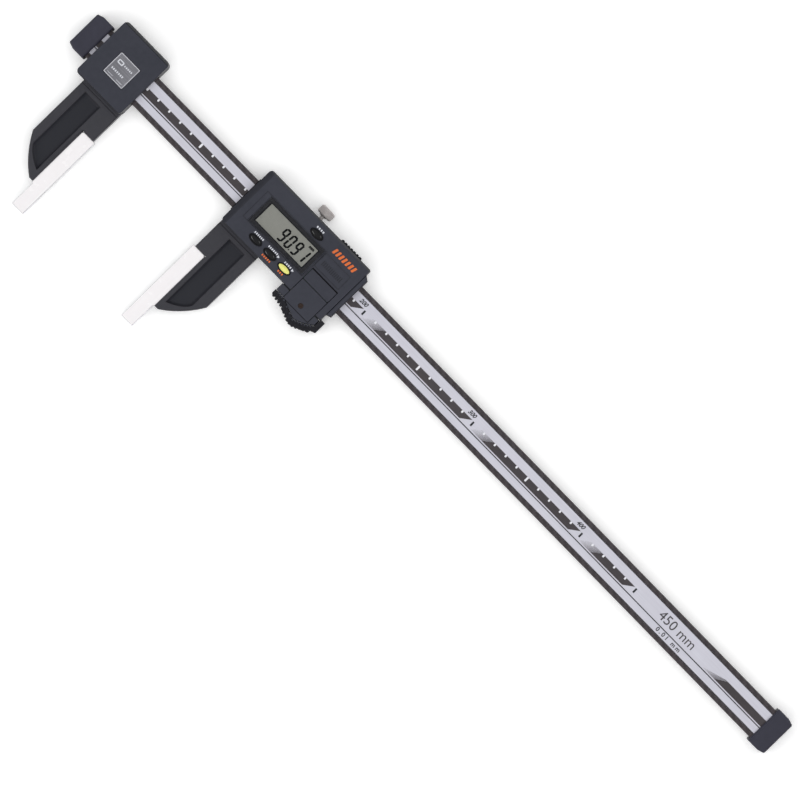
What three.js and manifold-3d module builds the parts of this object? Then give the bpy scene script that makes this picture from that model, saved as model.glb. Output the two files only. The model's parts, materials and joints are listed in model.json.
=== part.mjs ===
// A 450 mm digital caliper: a hollow carbon-fibre beam, ceramic-tipped jaws and a coolant-proof readout.
// It lies on its back. X runs along the beam from the fixed jaw's measuring face, the jaws point to -Y and
// the readout faces +Z. Lengths are in millimetres. Slider pieces are placed from the slider's own face.
import * as THREE from "three";
import { mergeVertices } from "three/addons/utils/BufferGeometryUtils.js";
import Module from "manifold-3d";

// Range, reading and clearances
const overlap = 0.1; // between solids that are joined into one piece
const measuringRange = 450;
const reading = 90.91;
const gap = 0.3; // between pieces that are fitted together
const runGap = 0.1; // between the slider and the beam
const glueGap = 0.05; // under what is bonded in place

// Beam and scale
const beamWidth = 24.2;
const beamThick = 12;
const beamWall = 2;
const beamCorner = 1;
const tapeWidth = 17.7;
const tapeThick = 0.35;
const scaleThick = 0.6;
const leftOverhang = 56.5; // beam behind the fixed jaw's face
const rightOverhang = 130.5; // beam past the top of the range

// End caps
const capLength = 13.6;
const capWallSide = 1.8;
const capWallEnd = 1.1;
const capWallFront = 2.7;
const capTaper = 1.3;
const plugLength = 9;

// Heights of the stack, from the table up
const coverFloor = 1;
const coverWall = 1.8;
const coverFrontWall = 1.8;
const frameBackWall = 2;
const frameFrontWall = 2.7;
const boardThick = 1;
const displayRoom = 5.5; // from the circuit board's face to the slider's front
const headRoom = 3.8; // from the fixed frame's face to the head's front

// Jaws
const jawReach = 99.6; // from the beam's lower edge to the tips' ends
const armReach = 80.2; // from the beam's lower edge to the arms' ends
const armThick = 11;
const armSetback = 1.6; // the tips stand this far past the arms
const fixedArmWidth = 32.5;
const sliderArmWidth = 33.4;
const armStraight = 57; // the length of the arms' straight back edge, below the beam
const armNose = 2.9; // the flat at the arms' ends
const tipWidth = 10.8;
const tipNoseWidth = 9.8;
const tipThick = 8;
const tipStart = 34.5; // from the beam's lower edge to the tips' upper ends
const pocketDepth = 3.2;
const pocketInset = [12.4, 26.3]; // the pocket's two sides, from the arm's measuring edge
const pocketTop = 15.6; // from the beam's lower edge
const pocketShortOfBend = 5.5;
const pocketPull = [1.2, 3.2];
const pocketFloor = 6.9; // above the arm's end

// Frames round the beam, and the strips that take up their play
const gibThick = 1.8;
const gibInset = 4;
const frameTopWall = 5.5;
const frameLowWall = 2.8;
const headLowWall = 8.5;

// Head covers
const headLength = 39.9;
const headSetback = 1.7;
const headTop = 11.5; // from the beam's upper edge
const headDrop = 10.9; // from the beam's lower edge
const headRim = 1.9;
const headCorner = 3;
const badgeSize = 17.2;
const badgeBack = 12.2; // from the fixed jaw's face to the badge
const badgeTop = 7;
const badgeRecess = 0.9;
const badgeCorner = 0.5;
const badgeBevel = 0.3;

// Slider covers
const bodyStart = 1.1; // the slider's covers start this far from its measuring face
const bodyLength = 91.1;
const bodyTop = 11.1; // from the beam's upper edge
const bodyDrop = 10.6; // from the beam's lower edge
const bodyRim = 1.4;
const bodyBevel = 4;
const bodyBevelDepth = 2;
const bodyCorner = 2.5;
const rightCorner = 1.2; // the slider's upper right corner
const endPlateThick = 3.1;
const endPlateMargin = [5.2, 7]; // past the beam's lower and upper edges
const endPlateSlant = [1, 2.3]; // its lower and upper edges rise and fall by this
const wiperProud = 0.8; // the left wiper stands this far out of the covers
const wiperRim = 1.5;
const wiperBite = 0.2; // between a wiper's lip and the beam

// Readout
const windowStart = 13.4;
const windowSize = [50, 22.2];
const windowMiddle = 0.2;
const windowThick = 0.7;
const windowLedge = 1.6;
const windowSink = 0.3;
const lcdStart = 15.6;
const lcdSize = [45.6, 18];
const lcdThick = 2;
const boardEnd = 63.5;
const boardMargin = 1.3; // from the covers' inner walls
const pickupStart = 15;
const pickupSize = [44.5, 17.8];
const boardTopDrop = 0.8;
const boardStep = 6.5; // the board's right part stops this far below its top
const contactStripY = [2.5, 0.7]; // from the display's upper edge
const contactStripInset = 2;
const socketInset = 4;
const socketWall = 1;
const socketFloor = 1.2;

// Buttons
const buttonHalf = [4.4, 1.75];
const collarWall = 0.65;
const collarProud = 0.1;
const flangeRim = 0.8;
const buttonProud = 0.5;
const buttonTravel = 0.5;
const buttonRowPlaces = [26.3, 39.4, 52.4];
const buttonRowRise = 6.7; // above the covers' lower edge
const holdButtonPlace = 51.2;
const holdButtonDrop = 8.6; // below the covers' upper edge
const domeHeight = 0.4;
const domeRadius = 1.5;
const sealThick = 0.9;
const sealMargin = 0.5;

// Battery, connector and thumb grip
const panelStart = 64.9;
const panelWidth = 22.9;
const panelTop = -2;
const panelSplit = -11.4;
const panelThick = 1.3;
const panelDrop = 6.5; // the battery cover runs this far below the covers
const cellRadius = 5.8;
const cellThick = 5.4;
const cellClear = 0.5; // beyond the fit, between the cell and the frame or the cover's screw
const coverScrewPlace = 76.9;
const coverScrewDrop = 2.2; // below the covers' lower edge
const panelSink = 0.1;
const panelCorner = 0.6;
const contactRoom = 1.6; // under the cell
const contactThick = [0.5, 0.25]; // under and over the cell
const contactHalf = 2;
const contactInset = 0.8; // from the cell's rim
const blockBack = 1.5;
const blockInset = 1.2;
const gripStart = 57.9;
const gripEnd = 95.6;
// The block's lower edge and the line of the teeth's tips: across from gripStart, down from the covers
const gripInnerLine = [
  [0.4, 5.9],
  [7.7, 6.2],
  [14.2, 8.9],
  [21.6, 11.6],
  [27.2, 9.4],
];
const gripInnerEnd = 4.9;
const gripRidgeLine = [
  [0.6, 10.4],
  [9.8, 12.2],
  [21.7, 16.3],
  [30, 13.2],
  [34.3, 11],
];
const gripShoulder = [6.1, 9.4]; // the rubber's left side, from the covers' lower edge
const gripTail = [7.9, 0.9]; // its right side: below and above that edge
const gripZ = [2.2, 1]; // from the table, and from the slider's front
const toothFlat = 0.35; // half of a tooth's tip
const gripTeeth = 14;
const toothHeight = 1.7;
const topGripPlace = [64.9, 82.8];
const topGripRibs = 7;
const topGripThick = 0.7;
const topGripRise = 0.6; // of the ribs over the covers' edge
const topGripShare = 0.6; // of a rib in its pitch

// Lock screw
const lockPlace = 45.3;
const lockShaftRadius = 1.5;
const lockHeadRadius = 5.7;
const lockHeadLength = 5.9;
const lockHeadRise = 2.7; // from the covers to the head
const lockKnurls = 30;
const lockKnurlDepth = 0.35;
const shoeRadius = 2;
const shoeTravel = 0.31;

// Screws
const screwHeadRadius = 2.3;
const screwShankRadius = 1.2;
const screwHeadThick = 0.7;
const screwHeadSink = 0.15;
const screwSlot = [1.3, 0.25]; // half of the cross slot's length and width
const screwSlotDepth = 0.4;
const bossWall = 1.4;
const clampRadius = 2;
const gibScrewRadius = 1.5;
const hexDepth = 1.5;
const screwFromTop = 2.7; // from a frame's upper edge to its screws
const headScrewInset = [3.4, 3.6]; // from the frame's side and from its lower edge
const sliderScrewInset = [5, 3.5];
const blockScrewInset = [6.5, 4];
const gibScrewInset = 18;
const clampShares = [0.28, 0.72];
const lidScrewRadius = 0.8;
const lidScrewHead = 1.65;
const lidScrewSink = 0.2;
const lidScrewThick = 0.6;
const lidScrewLength = 7;

// Edges and small shapes
const armGroove = { below: 12.3, width: 0.6, depth: 0.5 }; // across both arms, just under the covers
const armBevel = 0.6;
const reliefRadius = 0.6; // in the corner where a tip sits
const pocketBevel = 1.4;
const armBend = [0.4, 0.63]; // how far along the arm's slanted end its curve is pulled
const tipBevel = 0.25;
const tipStep = 1;
const capBevel = 0.8;
const capEase = 0.4;
const seam = 0.15; // half of the line between the front and back covers
const lowRim = 0.8;
const endPlateFront = 0.25; // from the slider's front
const endPlateBevel = 0.5;

// Worked out from the values above
const beamEdge = beamWidth / 2;
const beamLeft = -leftOverhang;
const beamRight = measuringRange + rightOverhang;
const frameBack = coverFloor + gap;
const beamBack = frameBack + frameBackWall + runGap;
const beamFront = beamBack + beamThick;
const beamMiddle = (beamBack + beamFront) / 2;
const frameFront = beamFront + runGap + frameFrontWall;
const boardBack = frameFront + gap;
const boardFront = boardBack + boardThick;
const sliderFront = boardFront + displayRoom;
const headFront = frameFront + headRoom;
const gibRoom = beamEdge + runGap + gibThick + gap;
const frameTop = gibRoom + frameTopWall;
const armSpan = [beamMiddle - armThick / 2, beamMiddle + armThick / 2];

const wasm = await Module();
wasm.setup();

const alongX = new THREE.Matrix4().set(0, 0, 1, 0, 1, 0, 0, 0, 0, 1, 0, 0, 0, 0, 0, 1);
const alongY = new THREE.Matrix4().set(0, 1, 0, 0, 0, 0, 1, 0, 1, 0, 0, 0, 0, 0, 0, 1);

function toSolid(geometry) {
  const bare = geometry.index ? geometry.toNonIndexed() : geometry.clone();
  bare.deleteAttribute("normal");
  bare.deleteAttribute("uv");
  const merged = mergeVertices(bare, 1e-4);
  return new wasm.Manifold(
    new wasm.Mesh({
      numProp: 3,
      vertProperties: merged.attributes.position.array,
      triVerts: new Uint32Array(merged.index.array),
    }),
  );
}

function block(x, y, z) {
  const box = new THREE.BoxGeometry(x[1] - x[0], y[1] - y[0], z[1] - z[0]);
  box.translate((x[0] + x[1]) / 2, (y[0] + y[1]) / 2, (z[0] + z[1]) / 2);
  return toSolid(box);
}

// A shape drawn in (x, y) and extruded along Z, or in (y, z) along X, or in (z, x) along Y.
function prism(shape, span, { axis = "z", bevel = 0, steps = 6 } = {}) {
  const solid = new THREE.ExtrudeGeometry(shape, {
    depth: span[1] - span[0] - 2 * bevel,
    bevelEnabled: bevel > 0,
    bevelThickness: bevel,
    bevelSize: bevel,
    bevelOffset: -bevel,
    bevelSegments: 1,
    curveSegments: steps,
  });
  solid.translate(0, 0, span[0] + bevel);
  if (axis === "x") solid.applyMatrix4(alongX);
  if (axis === "y") solid.applyMatrix4(alongY);
  return toSolid(solid);
}

function polygon(points) {
  return new THREE.Shape(points.map(([a, b]) => new THREE.Vector2(a, b)));
}

function roundedRect([x0, x1], [y0, y1], radius) {
  const shape = new THREE.Shape();
  shape.moveTo(x0 + radius, y0);
  shape.absarc(x1 - radius, y0 + radius, radius, -Math.PI / 2, 0);
  shape.absarc(x1 - radius, y1 - radius, radius, 0, Math.PI / 2);
  shape.absarc(x0 + radius, y1 - radius, radius, Math.PI / 2, Math.PI);
  shape.absarc(x0 + radius, y0 + radius, radius, Math.PI, 1.5 * Math.PI);
  return shape;
}

function oval([x, y], [halfX, halfY]) {
  return new THREE.Shape().absellipse(x, y, halfX, halfY, 0, 2 * Math.PI);
}

function rodZ([x, y], radius, z, steps = 8) {
  return prism(oval([x, y], [radius, radius]), z, { steps });
}

function rodY(x, z, radius, y, steps = 8) {
  return prism(oval([z, x], [radius, radius]), y, { axis: "y", steps });
}

function inset([low, high], amount) {
  return [low + amount, high - amount];
}

function cutAll(solid, tools) {
  return tools.reduce((rest, tool) => rest.subtract(tool), solid);
}

function finish(colour, roughness, metalness = 0) {
  return new THREE.MeshStandardMaterial({ color: colour, roughness, metalness, flatShading: true });
}

const slate = () => finish(0x41434f, 0.55);
const darkPaint = () => finish(0x3a3b45, 0.5, 0.2);
const blackRubber = () => finish(0x1d1d22, 0.85);
const steel = () => finish(0xa8a49c, 0.35, 0.9);

function addPiece(group, name, solid, material) {
  const { vertProperties, triVerts } = solid.getMesh();
  const geometry = new THREE.BufferGeometry();
  geometry.setAttribute("position", new THREE.BufferAttribute(vertProperties, 3));
  geometry.setIndex(new THREE.BufferAttribute(triVerts, 1));
  geometry.computeVertexNormals();
  const mesh = new THREE.Mesh(geometry, material);
  mesh.name = name;
  group.add(mesh);
}

const caliper = new THREE.Group();
const fixedPart = new THREE.Group();
const slider = new THREE.Group();
slider.position.x = reading;
caliper.add(fixedPart, slider);

// A slot the size of the beam with some clearance, for whatever wraps round it.
function beamHole(x, clearance) {
  const y = [-beamEdge - clearance, beamEdge + clearance];
  return block(x, y, [beamBack - clearance, beamFront + clearance]);
}

// Beam: a hollow tube with a shallow seat for the scale in its face.
function addBeam() {
  const outer = roundedRect([-beamEdge, beamEdge], [beamBack, beamFront], beamCorner);
  const tube = prism(outer, [beamLeft, beamRight], { axis: "x", steps: 3 });
  const bore = block(
    [beamLeft - 1, beamRight + 1],
    [-beamEdge + beamWall, beamEdge - beamWall],
    [beamBack + beamWall, beamFront - beamWall],
  );
  const seatDepth = scaleThick + tapeThick + 3 * glueGap;
  const seatHalf = tapeWidth / 2 + glueGap;
  const seat = block(
    [beamLeft - 1, beamRight + 1],
    [-seatHalf, seatHalf],
    [beamFront - seatDepth, beamFront + 1],
  );
  addPiece(fixedPart, "beam", cutAll(tube, [bore, seat]), finish(0x484244, 0.6));

  const scaleBack = beamFront - seatDepth + glueGap;
  const tapeBack = scaleBack + scaleThick + glueGap;
  const scaleRun = [beamLeft + 2, beamRight - 2];
  const scale = block(scaleRun, [-tapeWidth / 2, tapeWidth / 2], [scaleBack, scaleBack + scaleThick]);
  const tape = block(scaleRun, [-tapeWidth / 2, tapeWidth / 2], [tapeBack, tapeBack + tapeThick]);
  addPiece(fixedPart, "main_scale", scale, finish(0x6b7a4a, 0.5));
  addPiece(fixedPart, "scale_tape", tape, finish(0xcdcdd7, 0.3, 0.6));
}

// End cap: a cup over the beam's end with a plug in its bore. side is -1 at the left and 1 at the right.
function addEndCap(name, beamEnd, side) {
  const outerEnd = beamEnd + side * (gap + capWallEnd);
  const innerEnd = outerEnd - side * capLength;
  const half = beamEdge + gap + capWallSide;
  const taperLength = 3.5 * capTaper;
  const outline = polygon([
    [innerEnd, -half + capEase],
    [innerEnd + side * capBevel, -half],
    [outerEnd - side * taperLength, -half],
    [outerEnd - side * capEase, -half + capTaper],
    [outerEnd, -half + capTaper + capBevel],
    [outerEnd, half - capTaper - capBevel],
    [outerEnd - side * capEase, half - capTaper],
    [outerEnd - side * taperLength, half],
    [innerEnd + side * capBevel, half],
    [innerEnd, half - capEase],
  ]);
  const shell = prism(outline, [0, beamFront + gap + capWallFront], { bevel: capBevel });
  const bound = (a, b) => [Math.min(a, b), Math.max(a, b)];
  const pocket = beamHole(bound(innerEnd - side, beamEnd + side * gap), gap);
  const boreGap = beamWall + gap;
  const plug = block(
    bound(beamEnd - side * plugLength, beamEnd + side * 2 * gap),
    [-beamEdge + boreGap, beamEdge - boreGap],
    [beamBack + boreGap, beamFront - boreGap],
  );
  addPiece(fixedPart, name, shell.subtract(pocket).add(plug), finish(0x373846, 0.6));
}

// Jaw arm: side is -1 for the fixed jaw and 1 for the slider's. Its measuring face is at x = 0.
function armSolid(side, width, top) {
  const near = side * armSetback;
  const far = side * (armSetback + width);
  const tipBack = side * (tipWidth + glueGap);
  const tipTop = -beamEdge - tipStart;
  const low = -beamEdge - armReach;
  const nose = tipBack + side * armNose;
  const bendTop = -beamEdge - armStraight;
  const bendX = far - (far - nose) * armBend[0];
  const bendY = bendTop - (bendTop - low) * armBend[1];

  const outline = new THREE.Shape();
  outline.moveTo(near, top);
  outline.lineTo(far, top);
  outline.lineTo(far, bendTop);
  outline.quadraticCurveTo(bendX, bendY, nose, low);
  outline.lineTo(tipBack, low);
  outline.lineTo(tipBack, tipTop);
  outline.lineTo(near, tipTop);
  outline.closePath();

  const pocketNear = near + side * pocketInset[0];
  const pocketFar = near + side * pocketInset[1];
  const pocket = new THREE.Shape();
  pocket.moveTo(pocketNear, -beamEdge - pocketTop);
  pocket.lineTo(pocketFar, -beamEdge - pocketTop);
  pocket.lineTo(pocketFar, bendTop - pocketShortOfBend);
  const pull = [bendX - side * pocketPull[0], bendY + pocketPull[1]];
  pocket.quadraticCurveTo(...pull, pocketNear, low + pocketFloor);
  pocket.closePath();

  const arm = prism(outline, armSpan, { bevel: armBevel, steps: 10 });
  const pockets = armSpan.map((face) =>
    prism(pocket, [face - pocketDepth, face + pocketDepth], { bevel: pocketBevel, steps: 8 }),
  );
  const grooveTop = -beamEdge - armGroove.below;
  const acrossArm = [Math.min(near, far) - 1, Math.max(near, far) + 1];
  const grooveY = [grooveTop - armGroove.width, grooveTop];
  const grooves = armSpan.map((face) =>
    block(acrossArm, grooveY, [face - armGroove.depth, face + armGroove.depth]),
  );
  const relief = rodZ([tipBack, tipTop], reliefRadius, [armSpan[0] - 1, armSpan[1] + 1], 5);
  return cutAll(arm, [...pockets, ...grooves, relief]);
}

// The hole in a cover's lower wall that an arm comes out of, and how far up the full arm may reach in it.
function armNotch(side, width, bottom, low) {
  const x = [side * (armSetback - gap), side * (armSetback + width + gap)].sort((a, b) => a - b);
  return block(x, [bottom - 1, notchTop(bottom)], [low, armSpan[1] + gap]);
}

function notchTop(bottom) {
  return bottom + coverWall + 1;
}

// Ceramic tip: a plain bar, a little narrower where it runs past the arm.
function addJawTip(group, name, side) {
  const top = -beamEdge - tipStart - glueGap;
  const step = -beamEdge - armReach;
  const low = -beamEdge - jawReach;
  const outline = polygon([
    [0, top],
    [side * (tipWidth - tipStep), top],
    [side * tipWidth, top - tipStep],
    [side * tipWidth, step],
    [side * tipNoseWidth, step - tipStep],
    [side * tipNoseWidth, low],
    [0, low],
  ]);
  const span = [beamMiddle - tipThick / 2, beamMiddle + tipThick / 2];
  addPiece(group, name, prism(outline, span, { bevel: tipBevel }), finish(0xf5f2f3, 0.25));
}

// Frame: the block that wraps the beam, with room for a strip above the beam and holes for what presses it.
function frameSolid(x, low, holes, clearance) {
  const walls = block(x, [low, frameTop], [frameBack, frameFront]);
  const room = block(
    [x[0] - 1, x[1] + 1],
    [-beamEdge - clearance, gibRoom],
    [beamBack - clearance, beamFront + clearance],
  );
  const pressHoles = holes.map(([place, radius]) =>
    rodY(place, beamMiddle, radius + runGap, [gibRoom - 1, frameTop + 1]),
  );
  return cutAll(walls, [room, ...pressHoles]);
}

// The strip between the frame's upper wall and the beam.
function addStrip(group, name, x, holes) {
  const strip = block(x, [beamEdge + runGap, beamEdge + runGap + gibThick], [beamBack + 1, beamFront - 1]);
  const shoeHoles = holes.map(([place, radius]) =>
    rodY(place, beamMiddle, radius + gap, [beamEdge, gibRoom]),
  );
  addPiece(group, name, cutAll(strip, shoeHoles), finish(0xb08d45, 0.4, 0.8));
}

// Set screw with a hexagon socket, pressing on the strip.
function addSetScrew(group, name, place, radius) {
  const y = [gibRoom - gap + glueGap, frameTop - 0.2];
  const socket = rodY(place, beamMiddle, radius * 0.5, [y[1] - hexDepth, y[1] + 1], 3);
  addPiece(group, name, rodY(place, beamMiddle, radius, y).subtract(socket), steel());
}

// Cover screw: put in from the back, with a flat head and a cross slot.
function addCoverScrew(group, name, [x, y], top) {
  const head = rodZ([x, y], screwHeadRadius, [screwHeadSink, screwHeadSink + screwHeadThick]);
  const shank = rodZ([x, y], screwShankRadius, [screwHeadSink + screwHeadThick - 0.1, top], 5);
  const [long, wide] = screwSlot;
  const slotSpan = [0, screwHeadSink + screwSlotDepth];
  const slots = [
    block([x - long, x + long], [y - wide, y + wide], slotSpan),
    block([x - wide, x + wide], [y - long, y + long], slotSpan),
  ];
  addPiece(group, name, cutAll(head.add(shank), slots), steel());
}

// The stepped hole that such a screw needs in the pieces that it passes through.
function screwHole([x, y], top) {
  const sink = rodZ([x, y], screwHeadRadius + gap, [-1, screwHeadSink + screwHeadThick + 0.05], 8);
  return sink.add(rodZ([x, y], screwShankRadius + gap, [-1, top + gap], 5));
}

// Cover halves: a block with a chamfered upper rim, split at the beam's middle, and a cavity in each half.
function coverHalves(outline, x, y, front, rim, openings) {
  const lowerRim = rim * 0.4;
  const section = polygon([
    [y[0], lowRim],
    [y[0] + lowRim, 0],
    [y[1] - lowRim, 0],
    [y[1], lowRim],
    [y[1], front - rim],
    [y[1] - rim, front],
    [y[0] + lowerRim, front],
    [y[0], front - lowerRim],
  ]);
  const whole = prism(outline, [-1, front + 1], { steps: 4 });
  const shaped = prism(section, x, { axis: "x" }).intersect(whole);
  const cavity = block(
    [x[0] + coverWall, x[1] - coverWall],
    [y[0] + coverWall, y[1] - coverWall],
    [coverFloor, front - coverFrontWall],
  );
  const shell = cutAll(shaped, [cavity, ...openings]);
  const wide = [x[0] - 1, x[1] + 1];
  const deep = [y[0] - 1, y[1] + 1];
  return {
    back: shell.intersect(block(wide, deep, [-1, beamMiddle - seam])),
    front: shell.intersect(block(wide, deep, [beamMiddle + seam, front + 1])),
  };
}

// Fixed head: the jaw and its frame, the clamp on the beam, two covers and a badge.
function addHead() {
  const x = [-headSetback - headLength, -headSetback];
  const y = [-beamEdge - headDrop, beamEdge + headTop];
  const inner = [x[0] + coverWall + gap, x[1] - coverWall - gap];
  const low = -beamEdge - runGap - headLowWall;
  const clampPlaces = clampShares.map((share) => inner[0] + share * (inner[1] - inner[0]));
  const clampHoles = clampPlaces.map((place) => [place, clampRadius]);
  const [fromSide, fromLow] = headScrewInset;
  const screwPlaces = [inner[0] + fromSide, inner[1] - fromSide].flatMap((place) => [
    [place, frameTop - screwFromTop],
    [place, low + fromLow],
  ]);
  const screwTop = frameFront + 2;
  const holes = screwPlaces.map((place) => screwHole(place, screwTop));

  const frame = frameSolid(inner, low, clampHoles, runGap);
  const armTop = notchTop(y[0]) - gap;
  const arm = armSolid(-1, fixedArmWidth, armTop);
  const neck = block([-armSetback - fixedArmWidth, inner[1]], [armTop - 1, low + 1], armSpan);
  addPiece(fixedPart, "fixed_jaw", cutAll(frame.add(arm).add(neck), holes), darkPaint());
  addJawTip(fixedPart, "fixed_jaw_tip", -1);
  addStrip(fixedPart, "jaw_clamp_plate", [inner[0] + 1, inner[1] - 1], []);
  clampPlaces.forEach((place, i) => addSetScrew(fixedPart, `jaw_clamp_screw_${i + 1}`, place, clampRadius));

  const badgeX = [-badgeBack - badgeSize, -badgeBack];
  const badgeY = [badgeTop - badgeSize, badgeTop];
  const recess = block(badgeX, badgeY, [headFront - badgeRecess, headFront + 1]);
  const bosses = screwPlaces.map((place) =>
    rodZ(place, bossRadius, [frameFront + gap, headFront - coverFrontWall + 0.2]),
  );
  const outline = roundedRect(x, y, headCorner);
  const covers = coverHalves(outline, x, y, headFront, headRim, [
    armNotch(-1, fixedArmWidth, y[0], armSpan[0] - gap),
    beamHole([x[0] - 1, x[1] + 1], gap),
  ]);
  const front = bosses.reduce((solid, boss) => solid.add(boss), covers.front);
  addPiece(fixedPart, "head_front_cover", cutAll(front, [recess, ...holes]), slate());
  addPiece(fixedPart, "head_back_cover", cutAll(covers.back, holes), slate());
  screwPlaces.forEach((place, i) => addCoverScrew(fixedPart, `head_cover_screw_${i + 1}`, place, screwTop));

  const badge = prism(
    roundedRect(inset(badgeX, runGap), inset(badgeY, runGap), badgeCorner),
    [headFront - badgeRecess + glueGap, headFront - panelSink],
    { bevel: badgeBevel, steps: 3 },
  );
  addPiece(fixedPart, "head_badge", badge, finish(0x6c6d78, 0.35, 0.7));
}

// Slider layout, in the slider's own X
const bodyX = [bodyStart, bodyStart + bodyLength];
const bodyY = [-beamEdge - bodyDrop, beamEdge + bodyTop];
const frameX = [bodyX[0] + coverWall + gap, bodyX[1] - coverWall - gap];
const frameLow = -beamEdge - runGap - frameLowWall;
const panelX = [panelStart, panelStart + panelWidth];
const cellMiddle = [coverScrewPlace - cellRadius - cellClear, frameLow - gap - cellClear - cellRadius];
const cellFront = sliderFront - coverFrontWall - gap - 0.1;
const rowY = bodyY[0] + buttonRowRise;
const holdButton = [holdButtonPlace, bodyY[1] - holdButtonDrop];
const rowButtons = buttonRowPlaces.map((place) => [place, rowY]);
const wallBack = sliderFront - coverFrontWall;
const sliderScrews = [
  [frameX[0] + sliderScrewInset[0], frameTop - screwFromTop],
  [frameX[1] - sliderScrewInset[0], frameTop - screwFromTop],
  [frameX[0] + sliderScrewInset[0], frameLow - sliderScrewInset[1]],
];
const blockScrew = [frameX[1] - blockScrewInset[0], frameLow - blockScrewInset[1]];
const sliderScrewTop = boardFront + 2;
const blockScrewTop = beamMiddle;
const gibScrewPlaces = [frameX[0] + gibScrewInset, frameX[1] - gibScrewInset];
const bossRadius = screwShankRadius + bossWall;
const pickupX = [pickupStart, pickupStart + pickupSize[0]];
const pickupY = [-pickupSize[1] / 2, pickupSize[1] / 2];

function sliderScrewHoles() {
  return [
    ...sliderScrews.map((place) => screwHole(place, sliderScrewTop)),
    screwHole(blockScrew, blockScrewTop),
  ];
}

// Slider jaw: the frame that runs on the beam, the arm, and the window in it for the pickup.
function addSliderJaw() {
  const pressHoles = [
    [lockPlace, lockShaftRadius],
    ...gibScrewPlaces.map((place) => [place, gibScrewRadius]),
  ];
  const frame = frameSolid(frameX, frameLow, pressHoles, runGap);
  const armTop = notchTop(bodyY[0]) - gap;
  const arm = armSolid(1, sliderArmWidth, armTop);
  const neckX = [frameX[0], armSetback + sliderArmWidth];
  const neck = block(neckX, [armTop - 1, frameLow + 1], [frameBack, armSpan[1]]);
  const window = block(
    [pickupX[0] - gap, pickupX[1] + gap],
    [pickupY[0] - gap, pickupY[1] + gap],
    [beamMiddle, frameFront + 1],
  );
  const jaw = cutAll(frame.add(arm).add(neck), [window, ...sliderScrewHoles()]);
  addPiece(slider, "slider_jaw", jaw, darkPaint());
  addJawTip(slider, "slider_jaw_tip", 1);
  const gibX = [frameX[0] + gibInset, frameX[1] - gibInset];
  addStrip(slider, "slider_gib", gibX, [[lockPlace, shoeRadius]]);
  gibScrewPlaces.forEach((place, i) => addSetScrew(slider, `gib_screw_${i + 1}`, place, gibScrewRadius));
}

// Slider covers: two halves with openings for the beam, arm, wipers, display, buttons, panels and grip.
function addSliderCovers() {
  const outline = new THREE.Shape();
  const [left, right] = bodyX;
  const [bottom, top] = bodyY;
  outline.moveTo(left + bodyCorner, bottom);
  outline.lineTo(right, bottom);
  outline.absarc(right - rightCorner, top - rightCorner, rightCorner, 0, Math.PI / 2);
  outline.absarc(left + bodyCorner, top - bodyCorner, bodyCorner, Math.PI / 2, Math.PI);
  outline.absarc(left + bodyCorner, bottom + bodyCorner, bodyCorner, Math.PI, 1.5 * Math.PI);

  const bevel = prism(
    polygon([
      [sliderFront + 0.01, left + bodyBevel],
      [sliderFront + 1, left + bodyBevel],
      [sliderFront + 1, left - 1],
      [sliderFront - bodyBevelDepth, left - 1],
      [sliderFront - bodyBevelDepth, left],
    ]),
    [bottom - 1, top + 1],
    { axis: "y" },
  );
  const wiperHole = block(
    [left - 1, right + 1],
    [-beamEdge - wiperRim - gap, beamEdge + wiperRim + gap],
    [beamBack - wiperRim - gap, beamFront + wiperRim + gap],
  );
  const gripNotch = block(
    [gripStart - gap, right - coverWall],
    [bottom - 1, bottom + coverWall + 1],
    [coverFloor, wallBack],
  );
  const lockHole = rodY(lockPlace, beamMiddle, lockShaftRadius + gap, [top - coverWall - 1, top + 1]);
  const windowX = [windowStart, windowStart + windowSize[0]];
  const windowY = [windowMiddle - windowSize[1] / 2, windowMiddle + windowSize[1] / 2];
  const windowSeat = block(windowX, windowY, [sliderFront - windowThick - windowSink, sliderFront + 1]);
  const windowHole = block(
    [windowX[0] + windowLedge, windowX[1] - windowLedge],
    [windowY[0] + windowLedge, windowY[1] - windowLedge],
    [wallBack - 1, sliderFront],
  );
  const holeHalf = buttonHalf.map((half) => half + gap + collarWall + runGap);
  const buttonHoles = [...rowButtons, holdButton].map((place) =>
    prism(oval(place, holeHalf), [wallBack - 1, sliderFront + 1], { steps: 10 }),
  );
  const panelHole = block(panelX, [bottom - 1, panelTop], [wallBack - 1, sliderFront + 1]);
  const covers = coverHalves(outline, bodyX, bodyY, sliderFront, bodyRim, [
    bevel,
    wiperHole,
    armNotch(1, sliderArmWidth, bottom, frameBack - gap),
    gripNotch,
    lockHole,
    windowSeat,
    windowHole,
    ...buttonHoles,
    panelHole,
  ]);
  const bosses = sliderScrews.map((place, i) =>
    rodZ(place, bossRadius, [(i < 2 ? frameFront : armSpan[1]) + gap, wallBack + 0.2]),
  );
  const front = bosses.reduce((solid, boss) => solid.add(boss), covers.front);
  const frontHoles = sliderScrews.map((place) =>
    rodZ(place, screwShankRadius + gap, [0, sliderScrewTop + gap], 5),
  );
  addPiece(slider, "slider_front_cover", cutAll(front, frontHoles), slate());
  addPiece(slider, "slider_back_cover", cutAll(covers.back, sliderScrewHoles()), slate());
  [...sliderScrews, blockScrew].forEach((place, i) => {
    addCoverScrew(slider, `slider_cover_screw_${i + 1}`, place, i < 3 ? sliderScrewTop : blockScrewTop);
  });

  const pane = roundedRect([windowX[0] + gap, windowX[1] - gap], [windowY[0] + gap, windowY[1] - gap], 0.8);
  const paneBack = sliderFront - windowThick - windowSink + glueGap;
  const glass = prism(pane, [paneBack, paneBack + windowThick], { steps: 3 });
  addPiece(slider, "display_window", glass, finish(0x2a2c33, 0.1));
}

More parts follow.
